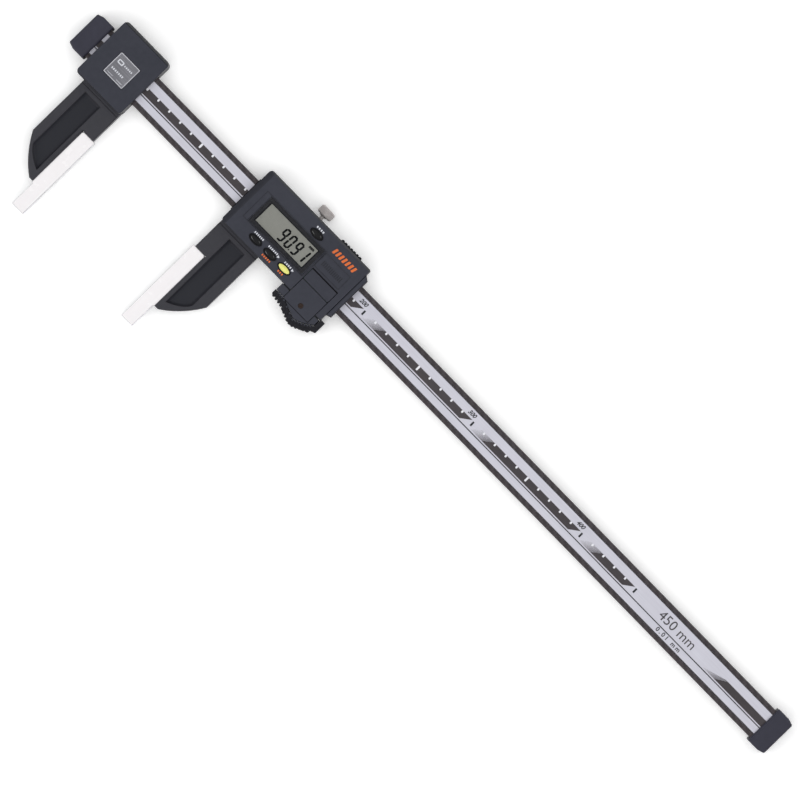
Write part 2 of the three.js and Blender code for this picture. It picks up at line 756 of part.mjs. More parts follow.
// Wipers at both ends, and the plate that holds the right one.
function addWipers() {
  const rim = (x) =>
    block(x, [-beamEdge - wiperRim, beamEdge + wiperRim], [beamBack - wiperRim, beamFront + wiperRim])
      .subtract(beamHole([x[0] - 1, x[1] + 1], wiperBite));
  const left = [bodyX[0] - wiperProud, bodyX[0] + coverWall - gap];
  const right = [bodyX[1] - coverWall + gap, bodyX[1]];
  addPiece(slider, "wiper_left", rim(left), blackRubber());
  addPiece(slider, "wiper_right", rim(right), blackRubber());

  const x = [bodyX[1] + runGap, bodyX[1] + gap + endPlateThick];
  const low = -beamEdge - endPlateMargin[0];
  const high = beamEdge + endPlateMargin[1];
  const outline = polygon([
    [x[0], low],
    [x[1], low + endPlateSlant[0]],
    [x[1], high - endPlateSlant[1]],
    [x[0], high],
  ]);
  const solid = prism(outline, [coverFloor, sliderFront - endPlateFront], { bevel: endPlateBevel });
  const plate = solid.subtract(beamHole([x[0] - 1, x[1] + 1], 2 * gap));
  addPiece(slider, "slider_end_plate", plate, slate());
}

// Pickup, circuit board with its switch domes, display and its contact strip, and data socket.
function addElectronics() {
  const pickup = block(pickupX, pickupY, [beamFront + gap, frameFront]);
  addPiece(slider, "detector_head", pickup, finish(0x2c4a38, 0.6));

  const boardX = [sliderScrews[0][0] + bossRadius + gap, boardEnd];
  const boardY = [bodyY[0] + coverWall + boardMargin, bodyY[1] - coverWall - boardMargin - boardTopDrop];
  const board = prism(
    polygon([
      [boardX[0], boardY[0]],
      [gripStart - gap, boardY[0]],
      [gripStart - gap, panelSplit],
      [panelX[1] - socketWall, panelSplit],
      [panelX[1] - socketWall, boardY[1] - boardStep],
      [boardX[1], boardY[1] - boardStep],
      [boardX[1], boardY[1]],
      [boardX[0], boardY[1]],
    ]),
    [boardBack, boardFront],
  );
  const domes = [...rowButtons, holdButton].map((place) =>
    rodZ(place, domeRadius, [boardFront - overlap, boardFront + domeHeight], 5),
  );
  const populated = domes.reduce((solid, dome) => solid.add(dome), board);
  addPiece(slider, "circuit_board", populated, finish(0x1f5a3a, 0.5));

  const lcdX = [lcdStart, lcdStart + lcdSize[0]];
  const lcdY = [windowMiddle - lcdSize[1] / 2, windowMiddle + lcdSize[1] / 2];
  const lcdBack = wallBack - gap - lcdThick;
  addPiece(slider, "lcd_panel", block(lcdX, lcdY, [lcdBack, lcdBack + lcdThick]), finish(0x8c8e84, 0.2));
  const strip = block(
    [lcdX[0] + contactStripInset, lcdX[1] - contactStripInset],
    contactStripY.map((down) => lcdY[1] - down),
    [boardFront + glueGap, lcdBack - glueGap],
  );
  addPiece(slider, "lcd_contact_strip", strip, blackRubber());

  const socketX = [panelX[0] + socketInset, panelX[1] - socketInset];
  const socketY = [panelSplit + socketWall, panelTop - socketWall];
  const socket = block(socketX, socketY, [boardFront + glueGap, wallBack - gap]);
  const mouth = block(
    [socketX[0] + socketWall, socketX[1] - socketWall],
    [socketY[0] + socketWall, socketY[1] - socketWall],
    [boardFront + socketFloor, wallBack + 1],
  );
  addPiece(slider, "data_socket", socket.subtract(mouth), finish(0x222226, 0.5));
}

// Keypad seals: a strip under the cover with a raised collar round each button.
function addSeal(name, places) {
  const rimX = buttonHalf[0] + gap + collarWall;
  const rimY = buttonHalf[1] + gap + collarWall;
  const x = [places[0][0] - rimX - sealMargin, places[places.length - 1][0] + rimX + sealMargin];
  const y = [places[0][1] - rimY - sealMargin, places[0][1] + rimY + sealMargin];
  const top = wallBack - glueGap;
  const strip = prism(roundedRect(x, y, 1.5), [top - sealThick, top], { steps: 3 });
  const collars = places.map((place) =>
    prism(oval(place, [rimX, rimY]), [top - overlap, sliderFront + collarProud], { steps: 10 }),
  );
  const holes = places.map((place) =>
    prism(oval(place, buttonHalf.map((half) => half + gap)), [top - 3, sliderFront + 1], { steps: 10 }),
  );
  const solid = collars.reduce((sum, collar) => sum.add(collar), strip);
  addPiece(slider, name, cutAll(solid, holes), blackRubber());
}

// Button: an oval cap through the seal, with a flange below that keeps it in.
function addButton(name, place, colour) {
  const sealBack = wallBack - glueGap - sealThick;
  const bottom = boardFront + domeHeight + buttonTravel + runGap;
  const cap = prism(oval(place, buttonHalf), [bottom, sliderFront + buttonProud], { bevel: 0.4, steps: 10 });
  const flange = prism(
    oval(place, buttonHalf.map((half) => half + flangeRim)),
    [bottom, sealBack - runGap],
    { steps: 10 },
  );
  addPiece(slider, name, cap.add(flange), finish(colour, 0.5));
}

// Thumb block: carries the battery pocket and the ribbed rubber grip.
function gripInner(offset) {
  const base = bodyY[0];
  const line = gripInnerLine.map(([across, down]) => [gripStart + across, base - down - offset]);
  return [...line, [bodyX[1] - gap + offset, base - gripInnerEnd - offset]];
}

function addThumbGrip() {
  const base = bodyY[0];
  const upper = base - gap;
  const outside = prism(
    polygon([...gripInner(0), [bodyX[1] - gap, upper], [gripStart + gripInnerLine[0][0], upper]]),
    [blockBack, sliderFront - panelSink],
    { bevel: 0.4 },
  );
  const insideX = [gripStart + blockInset, bodyX[1] - coverWall - gap];
  const inside = block(insideX, [base - 1.5, frameLow - gap], [blockBack, wallBack - gap]);
  const seatBack = sliderFront - panelThick - panelSink - runGap;
  const seat = block(panelX, [base - panelDrop - gap, 0], [seatBack, sliderFront + 1]);
  const cellFloor = cellFront - cellThick - contactRoom;
  const cell = rodZ(cellMiddle, cellRadius + gap, [cellFloor, sliderFront + 1], 12);
  const screwPlace = [coverScrewPlace, base - coverScrewDrop];
  const screwSpan = [sliderFront - lidScrewLength - 1, sliderFront + 1];
  const screw = rodZ(screwPlace, lidScrewRadius + runGap, screwSpan, 5);
  const solid = cutAll(outside.add(inside), [seat, cell, screw, screwHole(blockScrew, blockScrewTop)]);
  addPiece(slider, "thumb_block", solid, slate());

  const ridge = new THREE.SplineCurve(
    gripRidgeLine.map(([across, down]) => new THREE.Vector2(gripStart + across, base - down)),
  );
  const teeth = [];
  for (let i = 0; i < gripTeeth; i++) {
    const tip = ridge.getPointAt((i + 0.5) / gripTeeth);
    const root = ridge.getPointAt((i + 1) / gripTeeth);
    teeth.push([tip.x - toothFlat, tip.y], [tip.x + toothFlat, tip.y], [root.x, root.y + toothHeight]);
  }
  const outline = polygon([
    ...gripInner(gap).reverse(),
    [gripStart, base - gripShoulder[0]],
    [gripStart, base - gripShoulder[1]],
    ...teeth,
    [gripEnd, base - gripTail[0]],
    [gripEnd, base + gripTail[1]],
    [bodyX[1] + gap, base + gripTail[1]],
  ]);
  const rubber = prism(outline, [gripZ[0], sliderFront - gripZ[1]]);
  addPiece(slider, "grip_rubber", rubber, blackRubber());
}

// Battery: cell, its two contacts, its cover and the cover's screw, and the cover of the data socket.
function addBattery() {
  const cellBack = cellFront - cellThick;
  const base = bodyY[0];
  addPiece(slider, "battery_cell", rodZ(cellMiddle, cellRadius, [cellBack, cellFront], 12), steel());
  const leafY = [cellMiddle[1] - contactHalf, cellMiddle[1] + contactHalf];
  const leafHalf = cellRadius - contactInset;
  const leafX = [cellMiddle[0] - leafHalf, cellMiddle[0] + leafHalf];
  const baseLeafZ = [cellBack - gap - contactThick[0], cellBack - gap];
  const topLeafZ = [cellFront + glueGap, cellFront + glueGap + contactThick[1]];
  addPiece(slider, "battery_contact_base", block(leafX, leafY, baseLeafZ), steel());
  addPiece(slider, "battery_contact_top", block(leafX, leafY, topLeafZ), steel());

  const plateZ = [sliderFront - panelThick - panelSink, sliderFront - panelSink];
  const plateX = [panelX[0] + gap, panelX[1] - gap];
  const screwPlace = [coverScrewPlace, base - coverScrewDrop];
  const coverY = [base - panelDrop, panelSplit - gap / 2];
  const plate = prism(roundedRect(plateX, coverY, panelCorner), plateZ, { steps: 3 });
  const headBack = sliderFront - lidScrewSink - lidScrewThick;
  const headSink = rodZ(screwPlace, lidScrewHead + runGap, [headBack - runGap, sliderFront + 1]);
  const shankBack = sliderFront - lidScrewLength;
  const shankHole = rodZ(screwPlace, lidScrewRadius + runGap, [shankBack, sliderFront + 1], 5);
  addPiece(slider, "battery_cover", cutAll(plate, [headSink, shankHole]), slate());
  const head = rodZ(screwPlace, lidScrewHead, [headBack, sliderFront - lidScrewSink]);
  const shank = rodZ(screwPlace, lidScrewRadius, [shankBack, headBack + overlap], 5);
  const slot = block(
    [screwPlace[0] - lidScrewHead - 1, screwPlace[0] + lidScrewHead + 1],
    [screwPlace[1] - screwSlot[1], screwPlace[1] + screwSlot[1]],
    [headBack + gap, sliderFront],
  );
  addPiece(slider, "battery_cover_screw", head.add(shank).subtract(slot), finish(0x4a4038, 0.4, 0.8));
  const lidY = [panelSplit + gap / 2, panelTop - gap];
  const lid = prism(roundedRect(plateX, lidY, panelCorner), plateZ, { steps: 3 });
  addPiece(slider, "socket_cover", lid, slate());
}

// Ribbed pad on the slider's upper edge.
function addTopGrip() {
  const y = [bodyY[1] + runGap, bodyY[1] + topGripThick];
  const z = [beamMiddle + 1, sliderFront - bodyRim - 1];
  const pad = block(topGripPlace, y, z);
  const pitch = (topGripPlace[1] - topGripPlace[0]) / topGripRibs;
  const ribs = Array.from({ length: topGripRibs }, (_, i) => {
    const start = topGripPlace[0] + i * pitch + (pitch * (1 - topGripShare)) / 2;
    return block([start, start + pitch * topGripShare], [y[0] + overlap, y[1] + topGripRise], z);
  });
  addPiece(slider, "top_grip", ribs.reduce((sum, rib) => sum.add(rib), pad), blackRubber());
}

// Lock: a knurled screw whose end carries a shoe down onto the beam's edge.
function addLock() {
  const shoeSpan = [beamEdge + shoeTravel + glueGap, beamEdge + runGap + gibThick];
  const shoe = rodY(lockPlace, beamMiddle, shoeRadius, shoeSpan);
  addPiece(slider, "lock_shoe", shoe, finish(0xb08d45, 0.4, 0.8));

  const headBase = bodyY[1] + lockHeadRise;
  const knurls = Array.from({ length: 2 * lockKnurls }, (_, i) => {
    const radius = i % 2 ? lockHeadRadius : lockHeadRadius - lockKnurlDepth;
    const angle = (i * Math.PI) / lockKnurls;
    return [beamMiddle + radius * Math.cos(angle), lockPlace + radius * Math.sin(angle)];
  });
  const headY = [headBase, headBase + lockHeadLength];
  const head = prism(polygon(knurls), headY, { axis: "y", bevel: lockKnurlDepth });
  const shaft = rodY(lockPlace, beamMiddle, lockShaftRadius, [shoeSpan[1] + gap, headBase + 0.5]);
  addPiece(slider, "lock_screw", head.add(shaft), steel());
}

addBeam();
addEndCap("end_cap_left", beamLeft, -1);
addEndCap("end_cap_right", beamRight, 1);
addHead();
addSliderJaw();
addSliderCovers();
addWipers();
addElectronics();
addSeal("keypad_seal_row", rowButtons);
addSeal("keypad_seal_hold", [holdButton]);
addButton("offset_button", rowButtons[0], 0x18181c);
addButton("preset_button", rowButtons[1], 0x18181c);
addButton("zero_button", rowButtons[2], 0xf0f082);
addButton("hold_button", holdButton, 0x18181c);
addThumbGrip();
addBattery();
addTopGrip();
addLock();

// The origin is on the table, under the middle of the whole instrument.
const bounds = new THREE.Box3().setFromObject(caliper);
const middle = bounds.getCenter(new THREE.Vector3());
caliper.position.set(-middle.x, -middle.y, -bounds.min.z);

export default caliper;
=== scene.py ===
# Looks for a long digital caliper: carbon-fibre beam, ceramic-tipped jaws and a sliding readout.
# Sizes are millimetres from the jaws' faces and the beam's middle line; place() turns them to metres.
import json
import math
import bpy
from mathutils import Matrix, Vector

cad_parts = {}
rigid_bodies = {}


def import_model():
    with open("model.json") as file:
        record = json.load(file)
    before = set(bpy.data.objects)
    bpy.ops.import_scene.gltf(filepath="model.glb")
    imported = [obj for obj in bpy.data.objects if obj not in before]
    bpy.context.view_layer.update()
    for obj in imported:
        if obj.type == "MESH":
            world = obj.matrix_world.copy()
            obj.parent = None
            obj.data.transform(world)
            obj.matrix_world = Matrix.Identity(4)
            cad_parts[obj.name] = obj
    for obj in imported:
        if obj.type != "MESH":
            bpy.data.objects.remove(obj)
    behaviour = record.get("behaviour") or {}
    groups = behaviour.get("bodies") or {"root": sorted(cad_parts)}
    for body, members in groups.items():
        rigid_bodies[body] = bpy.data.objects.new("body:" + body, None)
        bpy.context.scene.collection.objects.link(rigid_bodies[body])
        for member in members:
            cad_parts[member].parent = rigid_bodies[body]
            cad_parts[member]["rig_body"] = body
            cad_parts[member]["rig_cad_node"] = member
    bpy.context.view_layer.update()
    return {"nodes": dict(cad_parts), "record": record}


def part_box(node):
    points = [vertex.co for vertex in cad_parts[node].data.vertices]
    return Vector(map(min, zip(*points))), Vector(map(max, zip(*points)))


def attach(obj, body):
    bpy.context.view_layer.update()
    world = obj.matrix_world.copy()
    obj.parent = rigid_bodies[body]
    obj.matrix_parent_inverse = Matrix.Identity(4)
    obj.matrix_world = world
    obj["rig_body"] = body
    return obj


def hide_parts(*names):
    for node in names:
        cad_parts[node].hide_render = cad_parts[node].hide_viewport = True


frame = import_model()

slotOf = {part["node"]: part["material_slot"] for part in frame["record"]["subparts"]}
beamLine = (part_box("beam")[0].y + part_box("beam")[1].y) / 2
fixedFace = Vector((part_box("fixed_jaw_tip")[1].x, beamLine, 0))  # where the beam's own sizes start
sliderFace = Vector((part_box("slider_jaw_tip")[0].x, beamLine, 0))  # where the slider's sizes start
inkThick = 0.02
smoothAngle = math.radians(48)  # faces meeting at less than this shade as one


def topOf(node):
    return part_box(node)[1].z * 1000


def place(origin, x, y, z):
    return origin + Vector((x, y, z)) / 1000


# The bottom and top of a layer of ink that floats just clear of a face.
def inkLayer(level, lift):
    return (level + lift, level + lift + inkThick)


# Selecting, shaping and finishing
def clearSelection():
    if bpy.context.object and bpy.context.object.mode != "OBJECT":
        bpy.ops.object.mode_set(mode="OBJECT")
    bpy.ops.object.select_all(action="DESELECT")


def pick(*pieces):
    clearSelection()
    for piece in pieces:
        piece.select_set(True)
    bpy.context.view_layer.objects.active = pieces[0]


def settle(piece):
    pick(piece)
    bpy.ops.object.transform_apply(location=True, rotation=True, scale=True)


def newPiece(name):
    piece = bpy.context.object
    piece.name = name
    piece.data.name = name
    settle(piece)
    return piece


def addBar(name, origin, x, y, z):
    clearSelection()
    low, high = place(origin, x[0], y[0], z[0]), place(origin, x[1], y[1], z[1])
    bpy.ops.mesh.primitive_cube_add(size=1, location=(low + high) / 2, scale=high - low)
    return newPiece(name)


def addRod(name, centre, radius, length, axis="z", sides=24):
    clearSelection()
    turn = {"z": (0, 0, 0), "y": (math.pi / 2, 0, 0), "x": (0, math.pi / 2, 0)}[axis]
    bpy.ops.mesh.primitive_cylinder_add(
        vertices=sides, radius=radius / 1000, depth=length / 1000, location=centre, rotation=turn)
    return newPiece(name)


def addText(name, body, origin, x, y, z, size, slant=0.0, spacing=1.0, weight=0.0):
    clearSelection()
    bpy.ops.object.text_add(location=place(origin, x, y, z))
    words = bpy.context.object.data
    words.body = body
    words.size = size / 1000
    words.shear = slant
    words.space_character = spacing
    words.offset = weight / 1000
    words.align_x = "CENTER"
    words.align_y = "CENTER"
    words.extrude = inkThick / 2000
    words.resolution_u = 4
    bpy.ops.object.convert(target="MESH")
    return newPiece(name)


def select(piece, mode, test):
    pick(piece)
    bpy.ops.object.mode_set(mode="EDIT")
    bpy.ops.mesh.select_mode(type=mode)
    bpy.ops.mesh.select_all(action="DESELECT")
    bpy.ops.object.mode_set(mode="OBJECT")
    mesh = piece.data
    if mode == "FACE":
        for face in mesh.polygons:
            face.select = test(face)
    elif mode == "EDGE":
        for edge in mesh.edges:
            edge.select = test(*(mesh.vertices[i].co for i in edge.vertices))
    else:
        for point in mesh.vertices:
            point.select = test(point.co)
    bpy.ops.object.mode_set(mode="EDIT")


def bevelUprights(piece, width, segments=3):
    select(piece, "EDGE", lambda a, b: abs(a.z - b.z) > 1e-7 and (a - b).to_2d().length < 1e-7)
    bpy.ops.mesh.bevel(offset=width / 1000, segments=segments, affect="EDGES")
    bpy.ops.object.mode_set(mode="OBJECT")


def useModifier(piece, kind, **values):
    pick(piece)
    modifier = piece.modifiers.new(kind, kind)
    for key, value in values.items():
        setattr(modifier, key, value)
    bpy.ops.object.modifier_apply(modifier=modifier.name)


def softenEdges(piece, width, segments=2, angle=32):
    useModifier(piece, "BEVEL", width=width / 1000, segments=segments, limit_method="ANGLE",
                angle_limit=math.radians(angle), use_clamp_overlap=False, miter_outer="MITER_ARC")
    pick(piece)
    bpy.ops.object.shade_smooth_by_angle(angle=smoothAngle)
    useModifier(piece, "WEIGHTED_NORMAL", keep_sharp=True)


def copyPiece(piece, name, shift):
    pick(piece)
    bpy.ops.object.duplicate()
    copy = bpy.context.object
    copy.name = name
    copy.data.name = name
    copy.location = Vector(shift) / 1000
    settle(copy)
    return copy


def joinPieces(name, pieces):
    pick(*pieces)
    if len(pieces) > 1:
        bpy.ops.object.join()
    pieces[0].name = name
    pieces[0].data.name = name
    return pieces[0]


def mount(piece, body, slotName, material, *nodes):
    piece.data.materials.clear()
    piece.data.materials.append(material)
    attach(piece, body)
    if nodes:
        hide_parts(*nodes)
    return piece


# An editable copy of one of the frame's solids, with its flat faces whole again.
def copyNode(node, name):
    pick(frame["nodes"][node])
    bpy.ops.object.duplicate()
    piece = bpy.context.object
    piece.name = name
    piece.data.name = name
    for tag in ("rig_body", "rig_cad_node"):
        del piece[tag]
    bpy.ops.object.parent_clear(type="CLEAR_KEEP_TRANSFORM")
    bpy.ops.mesh.customdata_custom_splitnormals_clear()
    bpy.ops.object.mode_set(mode="EDIT")
    bpy.ops.mesh.select_all(action="SELECT")
    bpy.ops.mesh.remove_doubles(threshold=0.00002)
    bpy.ops.mesh.dissolve_limited(angle_limit=math.radians(2))
    bpy.ops.object.mode_set(mode="OBJECT")
    return piece


# Shader groups and materials
def startGroup(name, inputs, outputs):
    tree = bpy.data.node_groups.new(name, "ShaderNodeTree")
    for label, value in inputs.items():
        tree.interface.new_socket(label, in_out="INPUT",
                                  socket_type="NodeSocketFloat").default_value = value
    for label in outputs:
        tree.interface.new_socket(label, in_out="OUTPUT", socket_type="NodeSocketFloat")
    return tree, tree.nodes.new("NodeGroupInput").outputs, tree.nodes.new("NodeGroupOutput").inputs


def wire(tree, value, socket):
    if isinstance(value, bpy.types.NodeSocket):
        tree.links.new(value, socket)
    else:
        socket.default_value = value


def calc(tree, operation, *values, clamp=False):
    node = tree.nodes.new("ShaderNodeMath")
    node.operation = operation
    node.use_clamp = clamp
    for value, socket in zip(values, node.inputs):
        wire(tree, value, socket)
    return node.outputs[0]


def remap(tree, value, start, end, low=0.0, high=1.0):
    node = tree.nodes.new("ShaderNodeMapRange")
    for item, label in zip((value, start, end, low, high),
                           ("Value", "From Min", "From Max", "To Min", "To Max")):
        wire(tree, item, node.inputs[label])
    return node.outputs[0]


def blendColour(tree, share, first, second):
    node = tree.nodes.new("ShaderNodeMix")
    node.data_type = "RGBA"
    wire(tree, share, node.inputs["Factor"])
    for value, index in ((first, 6), (second, 7)):
        wire(tree, value if isinstance(value, bpy.types.NodeSocket) else (*value, 1), node.inputs[index])
    return node.outputs[2]


def noise(tree, scale, detail=2.0, stretch=None):
    where = tree.nodes.new("ShaderNodeTexCoord").outputs["Object"]
    if stretch:
        mapping = tree.nodes.new("ShaderNodeMapping")
        mapping.inputs["Scale"].default_value = stretch
        tree.links.new(where, mapping.inputs["Vector"])
        where = mapping.outputs["Vector"]
    node = tree.nodes.new("ShaderNodeTexNoise")
    tree.links.new(where, node.inputs["Vector"])
    wire(tree, scale, node.inputs["Scale"])
    node.inputs["Detail"].default_value = detail
    return node.outputs["Fac"]


def axes(tree):
    split = tree.nodes.new("ShaderNodeSeparateXYZ")
    tree.links.new(tree.nodes.new("ShaderNodeTexCoord").outputs["Object"], split.inputs[0])
    return split.outputs


# Fine moulded or cast texture, with slow tone changes.
def buildGrain():
    tree, given, out = startGroup("fineGrain", {"Scale": 2600.0}, ("Height", "Tone"))
    fine = noise(tree, given["Scale"], 3)
    slow = noise(tree, 22.0, 3)
    mid = noise(tree, calc(tree, "MULTIPLY", given["Scale"], 0.12), 2)
    tree.links.new(fine, out["Height"])
    mixed = calc(tree, "ADD", calc(tree, "MULTIPLY", slow, 0.6), calc(tree, "MULTIPLY", mid, 0.4))
    tree.links.new(remap(tree, mixed, 0.3, 0.7), out["Tone"])


# Lines left by turning, grinding or brushing, along one axis.
def buildLines(name, stretch):
    tree, given, out = startGroup(name, {"Scale": 900.0}, ("Height", "Tone"))
    lines = noise(tree, given["Scale"], 3, stretch)
    slow = noise(tree, 60.0, 2)
    tree.links.new(lines, out["Height"])
    mixed = calc(tree, "ADD", calc(tree, "MULTIPLY", lines, 0.6), calc(tree, "MULTIPLY", slow, 0.4))
    tree.links.new(remap(tree, mixed, 0.3, 0.7), out["Tone"])


# Two-by-two twill of flat fibre bundles, on the beam's faces.
def buildWeave():
    tree, given, out = startGroup("twillWeave", {"Scale": 620.0}, ("Height", "Tone"))
    spot = axes(tree)
    across = calc(tree, "MULTIPLY", calc(tree, "ADD", spot["Y"], spot["Z"]), given["Scale"])
    along = calc(tree, "MULTIPLY", spot["X"], given["Scale"])
    step = calc(tree, "ADD", calc(tree, "FLOOR", across), calc(tree, "FLOOR", along))
    over = calc(tree, "LESS_THAN", calc(tree, "FLOORED_MODULO", step, 4.0), 1.5)
    crown = []
    for value in (along, across):
        crown.append(calc(tree, "SINE", calc(tree, "MULTIPLY", calc(tree, "FRACT", value), math.pi)))
    under = calc(tree, "SUBTRACT", 1.0, over)
    height = calc(tree, "ADD", calc(tree, "MULTIPLY", crown[0], over),
                  calc(tree, "MULTIPLY", crown[1], under))
    tree.links.new(height, out["Height"])
    fibre = noise(tree, 5200.0, 2)
    shade = calc(tree, "ADD", calc(tree, "MULTIPLY", over, 0.45), calc(tree, "MULTIPLY", height, 0.25))
    tree.links.new(calc(tree, "ADD", shade, calc(tree, "MULTIPLY", fibre, 0.3)), out["Tone"])


# Bright or dull edges, partly where hands and benches rub and partly a painted highlight where rounded
# edges catch the light.
def buildWearAndSheen():
    wearAndSheenWidth = 0.00035
    tree, given, out = startGroup("edgeWearAndSheen", {"Amount": 0.3, "Patches": 260.0}, ("Mask",))
    rounded = tree.nodes.new("ShaderNodeBevel")
    rounded.samples = 4
    rounded.inputs["Radius"].default_value = wearAndSheenWidth
    surface = tree.nodes.new("ShaderNodeNewGeometry")
    dot = tree.nodes.new("ShaderNodeVectorMath")
    dot.operation = "DOT_PRODUCT"
    tree.links.new(rounded.outputs[0], dot.inputs[0])
    tree.links.new(surface.outputs["Normal"], dot.inputs[1])
    edge = remap(tree, dot.outputs["Value"], 0.99, 0.8)
    patches = remap(tree, noise(tree, given["Patches"], 4), 0.35, 0.65)
    mask = calc(tree, "MULTIPLY", calc(tree, "MULTIPLY", edge, patches), given["Amount"], clamp=True)
    tree.links.new(mask, out["Mask"])


def addGroup(tree, name, values):
    node = tree.nodes.new("ShaderNodeGroup")
    node.node_tree = bpy.data.node_groups[name]
    for label, value in values.items():
        node.inputs[label].default_value = value
    return node.outputs


# Painted shade on the floors of the arms' pockets: they face up or down and lie well inside the arms'
# thickness.
def pocketShadeMask(tree):
    facing = tree.nodes.new("ShaderNodeSeparateXYZ")
    tree.links.new(tree.nodes.new("ShaderNodeNewGeometry").outputs["Normal"], facing.inputs[0])
    depth = {"rim": 0.0050, "floor": 0.0026}  # from the arms' middle
    flat = remap(tree, calc(tree, "ABSOLUTE", facing.outputs["Z"]), 0.3, 0.9)
    middle = (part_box("fixed_jaw_tip")[0].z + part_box("fixed_jaw_tip")[1].z) / 2
    inside = calc(tree, "ABSOLUTE", calc(tree, "SUBTRACT", axes(tree)["Z"], middle))
    armTop = beamLine - 0.026
    outside = remap(tree, axes(tree)["Y"], armTop, armTop - 0.0005)
    deep = remap(tree, inside, depth["rim"], depth["floor"])
    return calc(tree, "MULTIPLY", calc(tree, "MULTIPLY", flat, deep), outside)


# How far faces turn along one axis: used for the covers' chamfers and sides, to paint shade on them and a
# painted highlight on those facing +Y
def turned(tree, axis, start, end):
    facing = tree.nodes.new("ShaderNodeSeparateXYZ")
    tree.links.new(tree.nodes.new("ShaderNodeNewGeometry").outputs["True Normal"], facing.inputs[0])
    return remap(tree, facing.outputs[axis], start, end)


def makeFinish(name, look):
    material = bpy.data.materials.new(name)
    material.use_nodes = True
    tree = material.node_tree
    shader = tree.nodes["Principled BSDF"]
    for label, value in look.get("shader", {}).items():
        shader.inputs[label].default_value = value
    pattern = addGroup(tree, look.get("pattern", "fineGrain"), {"Scale": look["scale"]})
    colour = blendColour(tree, pattern["Tone"], look["dark"], look["light"])
    # Painted light: faces turned from the top take the sides colour as painted shade, and those facing +Y
    # take the upper sides colour as a painted highlight
    if "sides" in look:
        sides = blendColour(tree, turned(tree, "Y", 0.1, 0.5), look["sides"], look["upperSides"])
        colour = blendColour(tree, turned(tree, "Z", 0.985, 0.87), colour, sides)
    # the pockets' floors are darkened with painted shade
    if "recess" in look:
        colour = blendColour(tree, pocketShadeMask(tree), colour, look["recess"])
    # edges take the edge colour: partly wear, partly a painted highlight
    if "wear" in look:
        wornAndLit = addGroup(tree, "edgeWearAndSheen", {"Amount": look["wear"]})
        colour = blendColour(tree, wornAndLit["Mask"], colour, look["edge"])
    tree.links.new(colour, shader.inputs["Base Color"])
    tree.links.new(remap(tree, pattern["Tone"], 0.0, 1.0, *look["rough"]), shader.inputs["Roughness"])
    bump = tree.nodes.new("ShaderNodeBump")
    bump.inputs["Strength"].default_value = look.get("strength", 0.5)
    bump.inputs["Distance"].default_value = look["depth"]
    tree.links.new(pattern["Height"], bump.inputs["Height"])
    tree.links.new(bump.outputs[0], shader.inputs["Normal"])
    return material


buildGrain()
buildLines("linesAlongX", (0.02, 1, 1))
buildLines("linesAround", (1, 1, 0.05))
buildWeave()
buildWearAndSheen()

